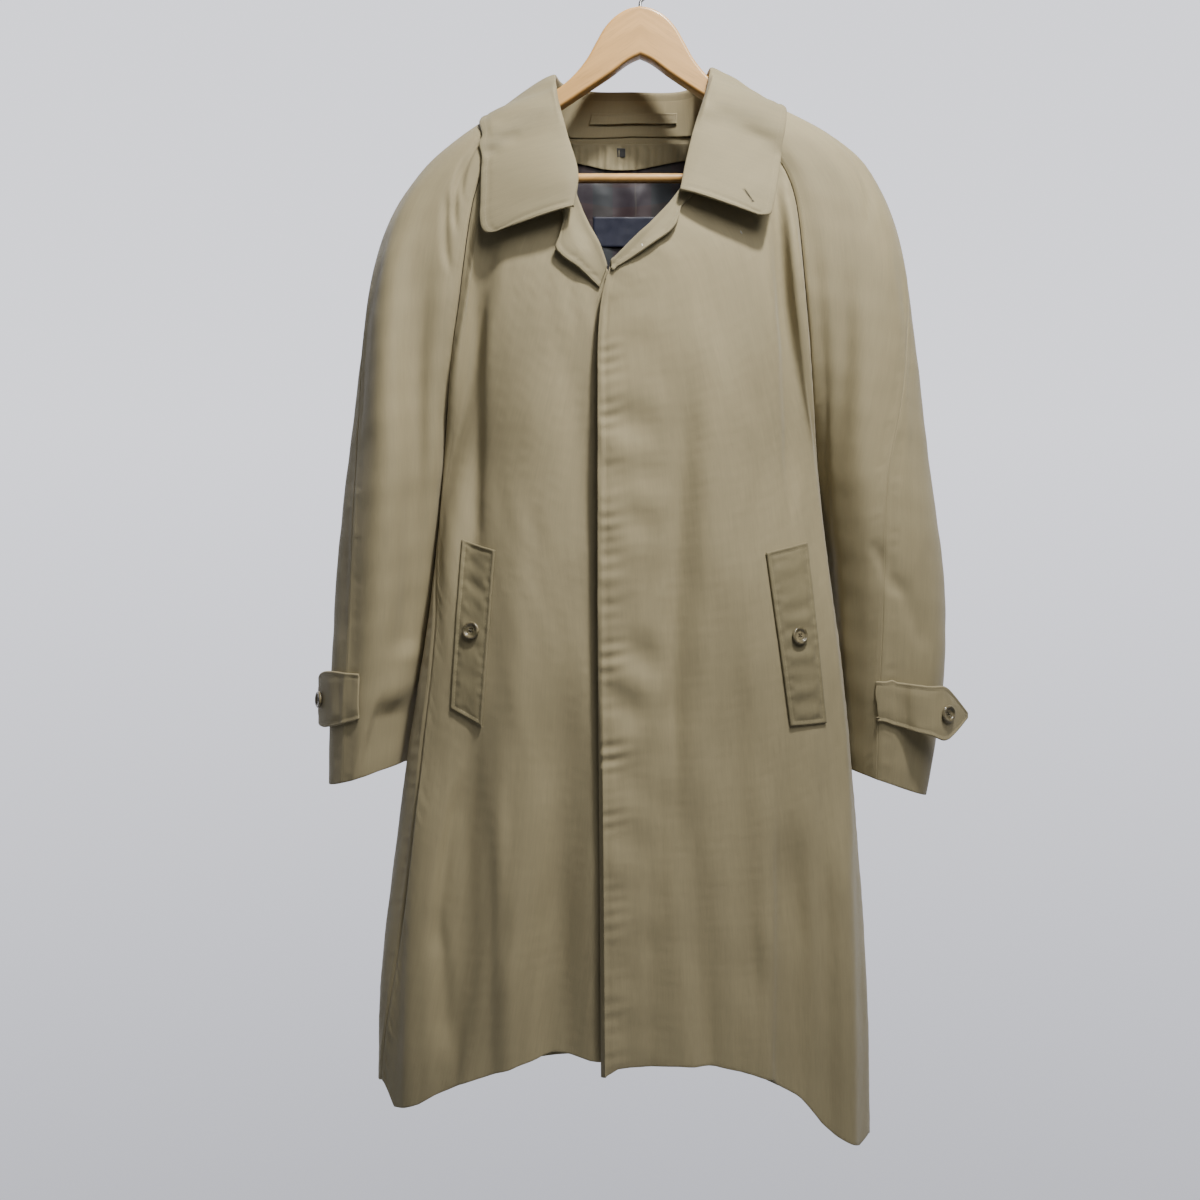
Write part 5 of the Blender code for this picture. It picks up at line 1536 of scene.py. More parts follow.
class Cloths:
    """Outsides of cloth gathered for pieces that rest on them."""

    def __init__(self, grids: list[Grid]) -> None:
        """Gather the grids' quads into one tree, each facing its own way."""
        corners, faces, count = [], [], 0
        for grid in grids:
            rows, columns = grid.points.shape[:2]
            number = np.arange(rows * columns).reshape(rows, columns) + count
            quads = np.stack([number[:-1, :-1], number[:-1, 1:], number[1:, 1:], number[1:, :-1]], axis=-1)
            quads = quads.reshape(-1, 4)
            faces += (quads if grid.turned() < 0 else quads[:, ::-1]).tolist()
            corners += grid.points.reshape(-1, 3).tolist()
            count += rows * columns
        self.tree = BVHTree.FromPolygons(corners, faces)

    def pushes(self, points: np.ndarray, distance: float) -> np.ndarray:
        """The step along the cloth's normal that brings each point of a coarse grid out to a distance."""
        steps = []
        for point in points.reshape(-1, 3):
            near, normal, _, gap = self.tree.find_nearest(Vector(point))
            height = float(np.dot(point - np.array(near), np.array(normal)))
            short = distance - height if height < distance and gap < 40.0 else 0.0
            steps.append(np.array(normal) * short)
        return np.array(steps).reshape(points.shape)

    def seated(self, points: np.ndarray) -> np.ndarray:
        """The nearest places on the cloth to a coarse grid of points."""
        spots = [self.tree.find_nearest(Vector(point))[0] for point in points.reshape(-1, 3)]
        return np.array(spots).reshape(points.shape)


def finer(values: np.ndarray, rows: np.ndarray, columns: np.ndarray) -> np.ndarray:
    """A coarse grid's values read at finer rows and columns, on smooth arcs.

    Args:
        values: The coarse grid.
        rows: Fractional rows.
        columns: Fractional columns.

    Returns:
        The finer grid.
    """
    number = {"at": np.arange(values.shape[0], dtype=float)}
    flat = values.reshape(values.shape[0], -1)
    tall = np.stack([smooth({**number, "value": column}, "value", rows) for column in flat.T], axis=1)
    tall = tall.reshape(len(rows), values.shape[1], -1)
    number = {"at": np.arange(values.shape[1], dtype=float)}
    flat = np.moveaxis(tall, 1, 0).reshape(values.shape[1], -1)
    wide = np.stack([smooth({**number, "value": column}, "value", columns) for column in flat.T], axis=1)
    return np.moveaxis(wide.reshape(len(columns), len(rows), -1), 0, 1)


def seam_forward(side: Side, at: np.ndarray) -> np.ndarray:
    """How far the side seam lies round towards the front edge: 0 on the side, 1 at the edge."""
    return np.maximum(smooth(SEAM_FORWARD[side.value], "part", at), 0.0)


def front_panel(side: Side, at: np.ndarray, part: np.ndarray) -> np.ndarray:
    """The outside of a front, from its seam (part 0) to its front edge (part 1)."""
    seam = seam_forward(side, at)
    return front_surface(side, at, np.minimum(seam + (1 - seam) * part, 1.0))


def back_half(side: Side, at: np.ndarray, part: np.ndarray) -> np.ndarray:
    """The outside of half the back: part 0 is its seam, which may lie in front, and part 1 the centre."""
    seam = seam_forward(side, at)
    at, turn = np.broadcast_arrays(at, seam - (1 + seam) * part)
    front = front_surface(side, at, np.clip(turn, 0.0, 1.0))
    rear = back_surface(side, at, np.clip(-turn, 0.0, 1.0))
    return np.where((turn > 0.0)[..., None], front, rear)


def back_panel(at: np.ndarray, part: np.ndarray) -> np.ndarray:
    """The outside of the back, from its right seam (part 0) past the centre (1) to its left seam (2)."""
    at, part = np.broadcast_arrays(np.asarray(at, dtype=float), np.asarray(part, dtype=float))
    right = back_half(Side.RIGHT, at, np.minimum(part, 1.0))
    left = back_half(Side.LEFT, at, np.minimum(2.0 - part, 1.0))
    return np.where((part <= 1.0)[..., None], right, left)


def panel_stations(rows: int) -> np.ndarray:
    """Stations of a panel's rows: RAGLAN_ROWS from the neck to the armpit, then the rest to its foot."""
    return np.concatenate([np.linspace(0.0, 1.0, RAGLAN_ROWS), np.linspace(1.0, 2.0, rows)[1:]])


@dataclass
class Body:
    """The three panels of the body, lined inside, with the stitches of the front edge.

    Short of the facing, the turned-up hem and the neck the inside is lining. crowded are the parts that
    lie close to a seam.
    """

    rows: int = 236
    front_columns: int = 80
    back_columns: int = 104
    crowded: tuple[float, ...] = (0.004, 0.01, 0.018, 0.028, 0.04)
    hem_turned: float = 45.0
    neck_turned: float = 61.0
    facing_width: float = 92.0
    fly_inset: float = 8.5
    top_inset: float = 7.0
    top_stitched: float = 34.0

    def panels(self) -> dict[str, Panel]:
        """The fronts and the back."""
        made: dict[str, Panel] = {}
        stations = panel_stations(self.rows)
        for side, seed in ((Side.LEFT, 11), (Side.RIGHT, 12)):
            name = "front_" + side.value
            parts = spread(self.front_columns, self.crowded, self.crowded)
            made[name] = FrontPanel(name, stations, parts, (0, -1, 0),
                                    lambda at, part, side=side: front_panel(side, at, part), name, seed=seed)
        half = spread(self.back_columns // 2, self.crowded)
        parts = np.concatenate([half, 2.0 - half[-2::-1]])
        made["back"] = Panel("back", stations, parts, (0, 1, 0), back_panel, "back", seed=13)
        return made

    def build(self, panels: dict[str, Panel]) -> None:
        """Build each panel and sew its stitches."""
        for name, panel in panels.items():
            grid = panel.grid
            lined = beyond(grid.inset(Edge.FOOT), self.hem_turned)
            lined = lined * beyond(grid.inset(Edge.TOP), self.neck_turned)
            if name != "back":
                lined = lined * beyond(grid.inset(Edge.LAST), self.facing_width)
            Cloth(name, grid, SHELL + LINING_WALL * lined, SHELL_TWILL, LINING_CLOTH,
                  lined > 0.5, PANEL_LAP).fit("hung", "hanger_body")
        over = panels["front_left"].grid
        trails = [over.line(Edge.LAST, self.fly_inset, (8.0, 12.0)),
                  over.line(Edge.TOP, self.top_inset, (over.run(1)[0, -1] - self.top_stitched, 9.0))]
        Needle().sew("stitches_fly", trails, SHELL_THREAD)


@dataclass
class Sleeve:
    """A raglan sleeve in two halves, joined along the overarm and underarm seams."""

    side: Side
    rows: int = 120
    front_columns: int = 40
    back_columns: int = 50
    cuff_turned: float = 40.0
    raglan_inset: float = 6.0
    raglan_stitched: float = 330.0
    crowded: tuple[float, ...] = (0.012, 0.03, 0.05)

    def panels(self) -> dict[str, Panel]:
        """The front and the back half. A half's part is its share of the way to the overarm seam."""
        stations = panel_stations(self.rows)
        made: dict[str, Panel] = {}
        name = "sleeve_" + self.side.value
        for half, count, facing in (("front", self.front_columns, (0.0, -1.0, 0.0)),
                                    ("back", self.back_columns, (0.3 * self.side.lean, 1.0, 0.0))):
            made[name + "_" + half] = SleevePanel(
                name + "_" + half, stations, spread(count, self.crowded, self.crowded), facing,
                lambda at, part, half=half: self.surface(half, at, part), name,
                seed=21 if half == "front" else 22, side=self.side, half=half)
        return made

    def surface(self, half: str, at: np.ndarray, part: np.ndarray) -> np.ndarray:
        """The outside of a half: its place goes from the front seam or to the back seam by the part."""
        return sleeve_surface(self.side, at, sleeve_place(self.side, half, at, part))

    def build(self, panels: dict[str, Panel]) -> None:
        """Build the halves and sew the line of stitches beside the raglan seam."""
        for name, panel in panels.items():
            grid = panel.grid
            lined = beyond(grid.inset(Edge.FOOT), self.cuff_turned)
            Cloth(name, grid, SHELL + LINING_WALL * lined, SHELL_TWILL, LINING_CLOTH,
                  lined > 0.5, PANEL_LAP).fit("hung", "hanger_body")
        trails = []
        for half, edge in (("front", Edge.FIRST), ("back", Edge.LAST)):
            grid = panels["sleeve_" + self.side.value + "_" + half].grid
            whole = grid.line(edge, self.raglan_inset, (4.0, 0.0))
            trails.append(whole.cut(0.0, max(float(whole.run()[-1]) - self.raglan_stitched, 0.0)))
        Needle().sew("stitches_raglan_" + self.side.value, trails, SHELL_THREAD)


def sleeve_place(side: Side, half: str, at: np.ndarray, part: np.ndarray) -> np.ndarray:
    """Places round a sleeve's section for a half's parts: 0 to the overarm seam, or from it to 2."""
    seam = smooth(SLEEVE_LINE[side.value], "seam", at)
    return seam * part if half == "front" else seam + (2.0 - seam) * part


@dataclass
class SleevePanel(Panel):
    """Half a sleeve."""

    side: Side = Side.LEFT
    half: str = "front"
    place_width: float = 95.0
    sway: float = 1.0
    dimple: float = 0.3
    hang_passes: int = 1200
    recess: float = 5.0

    def laid(self) -> np.ndarray:
        """As on any panel, and away from its inner seam the cloth hangs straight on past the armpit."""
        points = super().laid()
        straight = settled(points.copy(), self.hang_passes)
        places = sleeve_place(self.side, self.half, self.stations[:, None], self.parts)
        share = ease(places, 0.0, 0.3) * ease(2.0 - places, 0.0, 0.3)
        points[..., 1] += share * (straight[..., 1] - points[..., 1])
        return points

    def relief(self) -> np.ndarray:
        """As on any panel, with the folds placed round the whole sleeve's section."""
        places = sleeve_place(self.side, self.half, self.stations[:, None], self.parts)
        stations = np.broadcast_to(self.stations[:, None], places.shape)
        down = self.plain.run(0)
        level = self.plain.points[..., 2]
        around = places * self.place_width
        sway = Ripples(85.0, 0.0, 0.6, seed=31).height(around, level * 0.3)
        height = self.sway * sway * ease(down, 80, 300)
        height += self.dimple * Ripples(30.0, 0.4, 2.2, 9, seed=32).height(around, level * 0.6)
        height += self.dressing(down)
        folds = creases(FINE_FOLDS[self.fold_table], places, stations)
        if self.side is Side.RIGHT:
            edge = 0.44 + 0.12 * (stations - 1.75) / 0.25
            across = ease(places, 0.05, 0.14) * (1 - ease(places - edge, -0.03, 0.03))
            folds -= self.recess * ease(stations, 1.70, 1.82) * across
        folds *= ease(places, 0.0, 0.06) * ease(2.0 - places, 0.0, 0.06)
        return (height * self.off_seams() + folds) * ease(down, 0.0, 6.0)


@dataclass
class Collar:
    """The turned-down leaf and its stand."""

    wall: float = 2.5
    lean_gap: float = 1.2
    columns: int = 241
    rows: int = 40
    crowded: tuple[float, ...] = (0.002, 0.005, 0.009)
    topstitch: float = 6.5
    ridge: Swell = (0.45, 3.0, 2.4)
    groove: Swell = (0.75, 6.5, 1.8)
    buttonhole: tuple[tuple[float, float], ...] = ((98.0, -266.5), (107.5, -281.0))
    eyelet: float = 2.4
    stand_shown: tuple[float, float] = (-0.02, 0.86)
    tail: float = 9.0
    tail_start: float = 2.2
    upward: tuple[float, float, float] = (0.0, -0.3, 1.0)

    def neck_seam(self, count: int) -> np.ndarray:
        """Points along the neck seam, from the right gorge round the back to the left one."""
        across = np.linspace(0.0, 1.0, 25)
        pieces = [front_surface(Side.RIGHT, 0.0, GORGE["right"] * (1 - across)),
                  sleeve_surface(Side.RIGHT, 0.0, 2 * across),
                  back_surface(Side.RIGHT, 0.0, across),
                  back_surface(Side.LEFT, 0.0, 1 - across),
                  sleeve_surface(Side.LEFT, 0.0, 2 * (1 - across)),
                  front_surface(Side.LEFT, 0.0, GORGE["left"] * across)]
        path = np.concatenate([piece[:-1] for piece in pieces] + [pieces[-1][-1:]])
        trail = Trail(path, path)
        where = np.linspace(0.0, float(trail.run()[-1]), count)
        return trail.at(where).points

    def stand_surface(self, at: np.ndarray, part: np.ndarray) -> np.ndarray:
        """The stand's outer face: straight from the neck seam (part 0) up to the roll line (part 1)."""
        first, last = STAND_ENDS
        seam = self.neck_seam(161)
        inward = (NECK_MIDDLE - seam) * np.array((1.0, 1.0, 0.0))
        seam += unit(inward) * STAND_LIFT + np.array((0.0, 0.0, STAND_LIFT))
        number = np.clip((at - first) / (last - first), 0.0, 1.0) * (len(seam) - 1)
        foot = np.stack([np.interp(number, np.arange(len(seam)), seam[:, axis]) for axis in range(3)], axis=1)
        top = point_on(ROLL_LINE, at)
        return foot * (1 - part[:, None, None]) + top * part[:, None, None]

    def leaf_surface(self, at: np.ndarray, roll: np.ndarray, across: np.ndarray) -> np.ndarray:
        """The leaf's outside: (1-c)^2 roll + 2 c (1-c) turn + c^2 edge for c across.

        Turn is a point straight out from the roll; in front it is farther out, off the chest and in line
        with the edge.
        """
        front = (1 - ease(at, 0.12, 0.26)) + ease(at, 0.74, 0.88)
        edge = point_on(LEAF_EDGE, at)
        out = edge - roll
        out[:, 2] *= front
        turn = roll + unit(out) * (ROLL_TURN + ROLL_SPREAD * front)[:, None]
        turn[:, 1] -= LEAF_SWELL * front
        across = across[:, None, None]
        return (1 - across) ** 2 * roll + 2 * across * (1 - across) * turn + across ** 2 * edge

    def build(self, cloth: Cloths) -> None:
        """Build the stand and the leaf, which rests on the shoulders and the turned-out fronts."""
        stand_at = np.linspace(*STAND_ENDS, 161)
        stand = Grid(self.stand_surface(stand_at, np.linspace(*self.stand_shown, 23)), self.upward)
        Cloth("collar_stand", stand, STAND_WALL, SHELL_TWILL).fit("stretched", "hanger_body")
        leaf = self.leaf(cloth)
        # The leaf takes the darkened facing twill: painted shade.
        Cloth("collar_leaf", leaf, self.wall, FACING_SHADE_TWILL).fit(
            "folded", "collar_stand", "front_left", "front_right", "back")
        trails = [leaf.line(Edge.FOOT, self.topstitch, (self.topstitch, self.topstitch)),
                  leaf.line(Edge.FIRST, self.topstitch, (16.0, self.topstitch)),
                  leaf.line(Edge.LAST, self.topstitch, (16.0, self.topstitch))]
        Needle().sew("stitches_collar", trails, FACING_THREAD)
        slit = leaf.near(self.buttonhole)
        beside = unit(np.cross(slit.normals, slit.points[-1] - slit.points[0])) * 1.1
        rows = [Trail(slit.points + beside * way, slit.normals) for way in (-1, 1)]
        Needle(length=1.3, gap=0.1, width=1.2, height=0.8).sew("whip_buttonhole", rows, FACING_THREAD)
        # The slit and the eyelet are near-black thread pieces: painted shade in the buttonhole's opening.
        Needle(length=15.0, gap=0.0, width=1.3, height=0.8).sew("buttonhole_slit_shade", [slit], BUTTONHOLE_SHADE)
        eyelet = slit.cut(float(slit.run()[-1]) - self.eyelet, 0.0)
        Needle(length=self.eyelet, gap=0.0, width=self.eyelet, height=1.1).sew(
            "buttonhole_eyelet_shade", [eyelet], BUTTONHOLE_SHADE)

    def leaf(self, cloth: Cloths) -> Grid:
        """The leaf's outside, from the tail inside the neck over the roll to the outer edge."""
        coarse_at = np.linspace(0.0, 1.0, 61)
        at = spread(self.columns, self.crowded, self.crowded)
        coarse = np.linspace(0.0, 1.0, 12)
        roll = point_on(ROLL_LINE, coarse_at)
        rise = Grid(self.leaf_surface(coarse_at, roll, coarse), self.upward).normals()[0]
        points = self.leaf_surface(coarse_at, roll + rise * (self.wall + SEAM_GAP), coarse)
        for _ in range(3):
            points[1:] += cloth.pushes(points[1:], self.wall + self.lean_gap)
        across = np.linspace(0.0, 1.0, self.rows)
        face = Grid(finer(points, across * 11, at * 60), self.upward)
        inset = face.inset(Edge.FOOT)
        edge = face.nearest(Edge.FOOT, Edge.FIRST, Edge.LAST)
        pucker = Ripples(13.0, 0.0, 0.3, 5, seed=41).height(face.run(1), inset * 0.2)
        soft = Ripples(60.0, 0.0, 2.0, 6, seed=42).height(face.run(1), inset)
        height = turned_edge(edge, self.ridge, self.groove)
        height += 0.18 * pucker * bell(edge, self.topstitch, 6.0) + 0.45 * soft * ease(edge, 6.0, 30.0)
        fine = face.moved(height * ease(face.run(0), 0.0, 12.0)).points
        stand = self.stand_surface(at, np.array([0.62, 0.86]))
        way = unit(stand[1] - stand[0])
        inward = Grid(self.stand_surface(at, np.linspace(0.4, 1.0, 5)), self.upward).normals()[-1]
        roll = point_on(ROLL_LINE, at) - inward * STAND_WALL
        leave = unit(fine[0] - fine[1])
        start = fine[0]
        drop = np.linalg.norm(point_on(ROLL_LINE, at) - stand[1], axis=1, keepdims=True)
        finish = roll - way * self.tail_start
        turn = np.linspace(0.0, 1.0, 9)[1:, None, None]
        first = start + leave * 2.4
        last = roll + way * 1.6
        arc = ((1 - turn) ** 3 * start + 3 * turn * (1 - turn) ** 2 * first
               + 3 * turn ** 2 * (1 - turn) * last + turn ** 3 * finish)
        tail = finish - way * (np.linspace(0.0, 1.0, 5)[1:, None, None] * np.minimum(drop, self.tail))
        return Grid(np.concatenate([tail[::-1], arc[::-1], fine]), self.upward)


@dataclass
class Lapels:
    """The turned-out tops of the fronts: each rolls over the opening's edge to a tail inside."""

    wall: float = 2.6
    tail_wall: float = 0.9
    tail: float = 9.0
    roll_slack: float = 1.2
    rows: int = 60
    columns: int = 26
    gap: float = 0.4
    topstitch: float = 6.0
    ridge: Swell = (0.35, 3.0, 2.4)
    groove: Swell = (0.35, 6.0, 2.6)
    stand_off: float = 5.0
    lapel_tack: tuple[tuple[float, float], ...] = ((-1.5, -322.0), (-1.0, -328.0))
    front_tack: tuple[tuple[float, float], ...] = ((97.0, -304.5), (97.5, -311.0))

    def grid(self, side: Side, panel: Panel) -> Grid:
        """The outside of one lapel, from its tail inside the neck, over the roll, to its free edge."""
        lapel = LAPEL[side.value]
        at = np.linspace(0.0, 1.0, self.rows)
        x = between(smooth(lapel, "roll_x", at), smooth(lapel, "edge_x", at), self.columns)
        z = between(smooth(lapel, "roll_z", at), smooth(lapel, "edge_z", at), self.columns)
        points, normals = located(panel, x, z)
        lift = self.gap + self.wall
        face = Grid(points + normals * lift, (0.0, -1.0, 0.0))
        soft = Ripples(40.0, 0.0, 3.0, 6, seed=51).height(face.run(1), face.run(0))
        pucker = Ripples(12.0, math.pi / 2, 0.3, 5, seed=52).height(face.run(1) * 0.2, face.run(0))
        inset = face.inset(Edge.LAST)
        height = 0.4 * soft * ease(inset, 0.0, 10.0) + turned_edge(inset, self.ridge, self.groove)
        height += 0.25 * pucker * bell(inset, *self.groove[1:])
        along = ease(face.run(0), 4.0, 40.0) * ease(face.inset(Edge.FOOT), 4.0, 34.0)
        height += self.stand_off * ease(face.run(1), 3.0, 22.0) * along
        face = face.moved(np.maximum(height, -self.gap))
        radius = (lift + SHELL + self.roll_slack) / 2
        out = unit(face.points[:, 0] - face.points[:, 1])
        normal = face.normals()[:, 0]
        centre = face.points[:, 0] - normal * radius
        turn = np.radians(np.linspace(0.0, 180.0, 10))[1:, None, None]
        arc = centre + radius * (normal * np.cos(turn) + out * np.sin(turn))
        step = np.linspace(0.0, 1.0, 4)[1:, None, None]
        tail = arc[-1] - out * step * self.tail
        wrapped = np.concatenate([tail[::-1], arc[::-1]])
        return Grid(np.concatenate([np.moveaxis(wrapped, 0, 1), face.points], axis=1), (0.0, -1.0, 0.0))

    def build(self, panels: dict[str, Panel]) -> list[Grid]:
        """Build both lapels and sew their edges."""
        grids = []
        for side in Side:
            grid = self.grid(side, panels["front_" + side.value])
            part = np.clip(grid.run(1) / 14.0, 0.0, 1.0)
            wall = self.tail_wall + (self.wall - self.tail_wall) * part
            # The lapel takes the darkened facing twill: painted shade.
            Cloth("facing_" + side.value, grid, wall, FACING_SHADE_TWILL).fit("folded", "front_" + side.value)
            Needle().sew("stitches_lapel_" + side.value, [grid.line(Edge.LAST, self.topstitch, (3.0, 3.0))],
                         FACING_THREAD)
            grids.append(grid)
        tack = Needle(length=4.2, gap=0.0, width=1.2, height=1.4)
        tack.sew("tack_lapel", [grids[0].near(self.lapel_tack)], PALE_THREAD)
        tack.sew("tack_front", [panels["front_left"].grid.near(self.front_tack)], PALE_THREAD)
        return grids


def located(panel: Panel, x: np.ndarray, z: np.ndarray) -> tuple[np.ndarray, np.ndarray]:
    """Points and normals of a panel's relief at given x and z, found by Newton's steps on its surface.

    Args:
        panel: The panel.
        x: The x of each point.
        z: The z of each point.

    Returns:
        The points and the unit normals.
    """
    flat = panel.plain.points
    thin = (slice(None, None, 6), slice(None, None, 4))
    aside, above = (flat[thin][..., axis].ravel() for axis in (0, 2))
    apart = (x[..., None] - aside) ** 2 + (z[..., None] - above) ** 2
    nearest = np.argmin(apart, axis=-1)
    stations, parts = np.broadcast_arrays(panel.stations[:, None], panel.parts)
    at = stations[thin].ravel()[nearest]
    part = parts[thin].ravel()[nearest]
    step = 1e-4
    for _ in range(12):
        here = panel.surface(at, part)
        by_at = (panel.surface(at + step, part) - here) / step
        by_part = (panel.surface(at, part - step) - here) / -step
        short_x = x - here[..., 0]
        short_z = z - here[..., 2]
        scale = by_at[..., 0] * by_part[..., 2] - by_part[..., 0] * by_at[..., 2]
        scale = np.where(np.abs(scale) < 1.0, np.sign(scale) + (scale == 0), scale)
        at = at + np.clip((short_x * by_part[..., 2] - by_part[..., 0] * short_z) / scale, -0.05, 0.05)
        part = part + np.clip((by_at[..., 0] * short_z - short_x * by_at[..., 2]) / scale, -0.05, 0.05)
        at = np.clip(at, 0.0, panel.stations[-1])
        part = np.clip(part, step, panel.parts[-1])
    row = np.interp(at, panel.stations, np.arange(len(panel.stations)))
    column = np.interp(part, panel.parts, np.arange(len(panel.parts)))
    points, normals = panel.grid.spot(row, column)
    points[..., 0] = x
    points[..., 2] = z
    return points, normals


def facing_foot(x: np.ndarray) -> np.ndarray:
    """The height of the neck facing's wavy bottom edge: foot + wave sin((x - 20) / 24)."""
    return NECK_FACING["foot"] + NECK_FACING["wave"] * np.sin((x - 20.0) / 24.0)


@dataclass
class NeckInside:
    """What shows inside the neck: the gathered facing, the lining, the label, the size tab and the loop."""

    wall: float = 0.9
    gap: float = 0.5

    def lift(self, panel: Panel, x: np.ndarray, z: np.ndarray, off: float) -> Grid:
        """A face inside the back: the panel's points moved in by a distance."""
        points, normals = located(panel, x, z)
        return Grid(points - normals * (SHELL + LINING_WALL + off), (0.0, -1.0, 0.0))

    def sheet(self, back: Panel, ends: dict[str, float], top: Callable[[np.ndarray], np.ndarray],
              foot: Callable[[np.ndarray], np.ndarray], size: tuple[int, int]) -> Grid:
        """A face inside the back between two level lines.

        Args:
            back: The back.
            ends: Where it starts ("right") and ends ("left") across.
            top: The height of its top edge at each x.
            foot: The height of its bottom edge.
            size: Its rows and columns.

        Returns:
            The face.
        """
        rows, columns = size
        x = np.linspace(ends["right"], ends["left"], columns)
        z = between(top(x), foot(x), rows).T
        return self.lift(back, np.broadcast_to(x, size), z, self.gap + self.wall)

    def build(self, back: Panel, collar: Collar) -> None:
        """Build the five pieces."""
        facing = self.sheet(back, NECK_FACING, lambda x: 0 * x + NECK_FACING["top"], facing_foot, (26, 120))
        gather = Ripples(9.5, 0.0, 0.35, 6, seed=61).height(facing.run(1), facing.run(0) * 0.5)
        facing = facing.moved(1.7 + 0.6 * np.clip(gather, -1.4, 1.4) * ease(facing.run(0), 0.0, 8.0))
        # The neck facing takes the darkened facing twill: painted shade.
        Cloth("neck_facing", facing, self.wall, FACING_SHADE_TWILL).fit("gathered", "back")
        Needle().sew("stitches_neck_facing", [facing.line(Edge.FOOT, 2.2, (2.0, 2.0))], FACING_THREAD)
        lining = self.sheet(back, LINING, lambda x: facing_foot(x) + 3.0,
                            lambda x: 0 * x + LINING["foot"], (90, 110))
        waves = Ripples(38.0, 0.0, 0.8, 6, seed=62).height(lining.run(1), lining.run(0) * 0.35)
        lining = lining.moved((1.3 + 0.7 * waves) * ease(lining.run(0), 8.0, 30.0) - 0.6)
        Cloth("lining", lining, self.wall, LINING_CLOTH).fit("hung", "back")
        Cloth("neck_label", self.patch(back, NECK_LABEL), self.wall, LABEL_SATIN).fit("laid", "lining")
        Cloth("size_tab", self.patch(back, SIZE_TAB), self.wall, TAB_BLACK).build()
        self.build_loop(collar)

    def patch(self, back: Panel, sizes: dict[str, float]) -> Grid:
        """An upright patch that lies on the lining or the facing."""
        half, rise = sizes["width"] / 2, sizes["height"] / 2
        xs, zs = np.meshgrid(np.linspace(sizes["x"] - half, sizes["x"] + half, 30),
                             np.linspace(sizes["z"] + rise, sizes["z"] - rise, 14))
        return self.lift(back, xs, zs, 2 * (self.gap + self.wall) + 1.0)

    def build_loop(self, collar: Collar) -> None:
        """The hanging loop: a strip sewn across the inside of the stand, bowed off it in the middle."""
        at = np.linspace(*HANG_LOOP["ends"], 70)
        stand = collar.stand_surface(at, np.linspace(HANG_LOOP["top"], HANG_LOOP["foot"], 12))
        bow = np.sin(np.linspace(0.0, math.pi, 70)) * HANG_LOOP["bow"]
        step = np.array((0.0, STAND_WALL + 0.5 + HANG_LOOP["wall"], 0.0))
        face = Grid(stand - step - bow[None, :, None] * np.array((0.0, 1.0, 0.0)), (0.0, -1.0, 0.2))
        edge = face.nearest(Edge.TOP, Edge.FOOT)
        face = face.moved(turned_edge(edge, (0.2, 1.2, 1.0), (0.2, 2.6, 0.9)))
        Cloth("hang_loop", face, HANG_LOOP["wall"], SHELL_TWILL).fit("stretched", "collar_stand")
        inset = HANG_LOOP["topstitch"]
        trails = [face.line(edge, inset, (inset, inset)) for edge in Edge]
        Needle().sew("stitches_hang_loop", trails, FACING_THREAD)


@dataclass
class Welt:
    """A pocket welt with its button."""

    side: Side
    wall: float = 2.2
    gap: float = 0.4
    rows: int = 120
    columns: int = 34
    topstitch: float = 4.5
    ridge: Swell = (0.6, 2.0, 1.6)
    groove: Swell = (0.45, 4.5, 1.4)
    filling: float = 0.6

    def build(self, panel: Panel) -> None:
        """Lay the welt on the front, raise its edges, and sew and button it."""
        down = np.linspace(0.0, 1.0, self.rows)
        middle, level, half, rise = (smooth(WELTS[self.side.value], name, down)
                                     for name in ("x", "z", "half", "rise"))
        half = half * self.side.lean
        x = between(middle - half, middle + half, self.columns)
        z = between(level - rise, level + rise, self.columns)
        points, normals = located(panel, x, z)
        face = Grid(points + normals * (self.gap + self.wall), (0.0, -1.0, 0.0))
        edge = face.nearest(*Edge)
        over, along = face.run(1), face.run(0)
        soft = Ripples(25.0, math.pi / 2, 0.7, 7, seed=71 + int(self.side.lean)).height(over, along)
        pucker = Ripples(13.0, 0.8, 3.0, 6, seed=73).height(over, along)
        height = turned_edge(edge, self.ridge, self.groove)
        height += (self.filling + 0.45 * soft) * ease(edge, 5.0, 12.0) + 0.22 * pucker * bell(edge, 5.0, 5.0)
        face = face.moved(height)
        name = "pocket_welt_" + self.side.value
        wall = self.wall + np.maximum(height, 0.0)
        # The welt takes the darkened twill: painted shade.
        Cloth(name, face, wall, WELT_SHADE_TWILL).fit("laid", "front_" + self.side.value)
        trails = [face.line(edge, self.topstitch, (self.topstitch, self.topstitch)) for edge in Edge]
        Needle().sew("stitches_welt_" + self.side.value, trails, SHELL_THREAD)
        centre, normal = face.spot(np.array([(self.rows - 1) / 2]), np.array([(self.columns - 1) / 2]))
        Button("pocket_button_" + self.side.value).build(centre[0], normal[0])


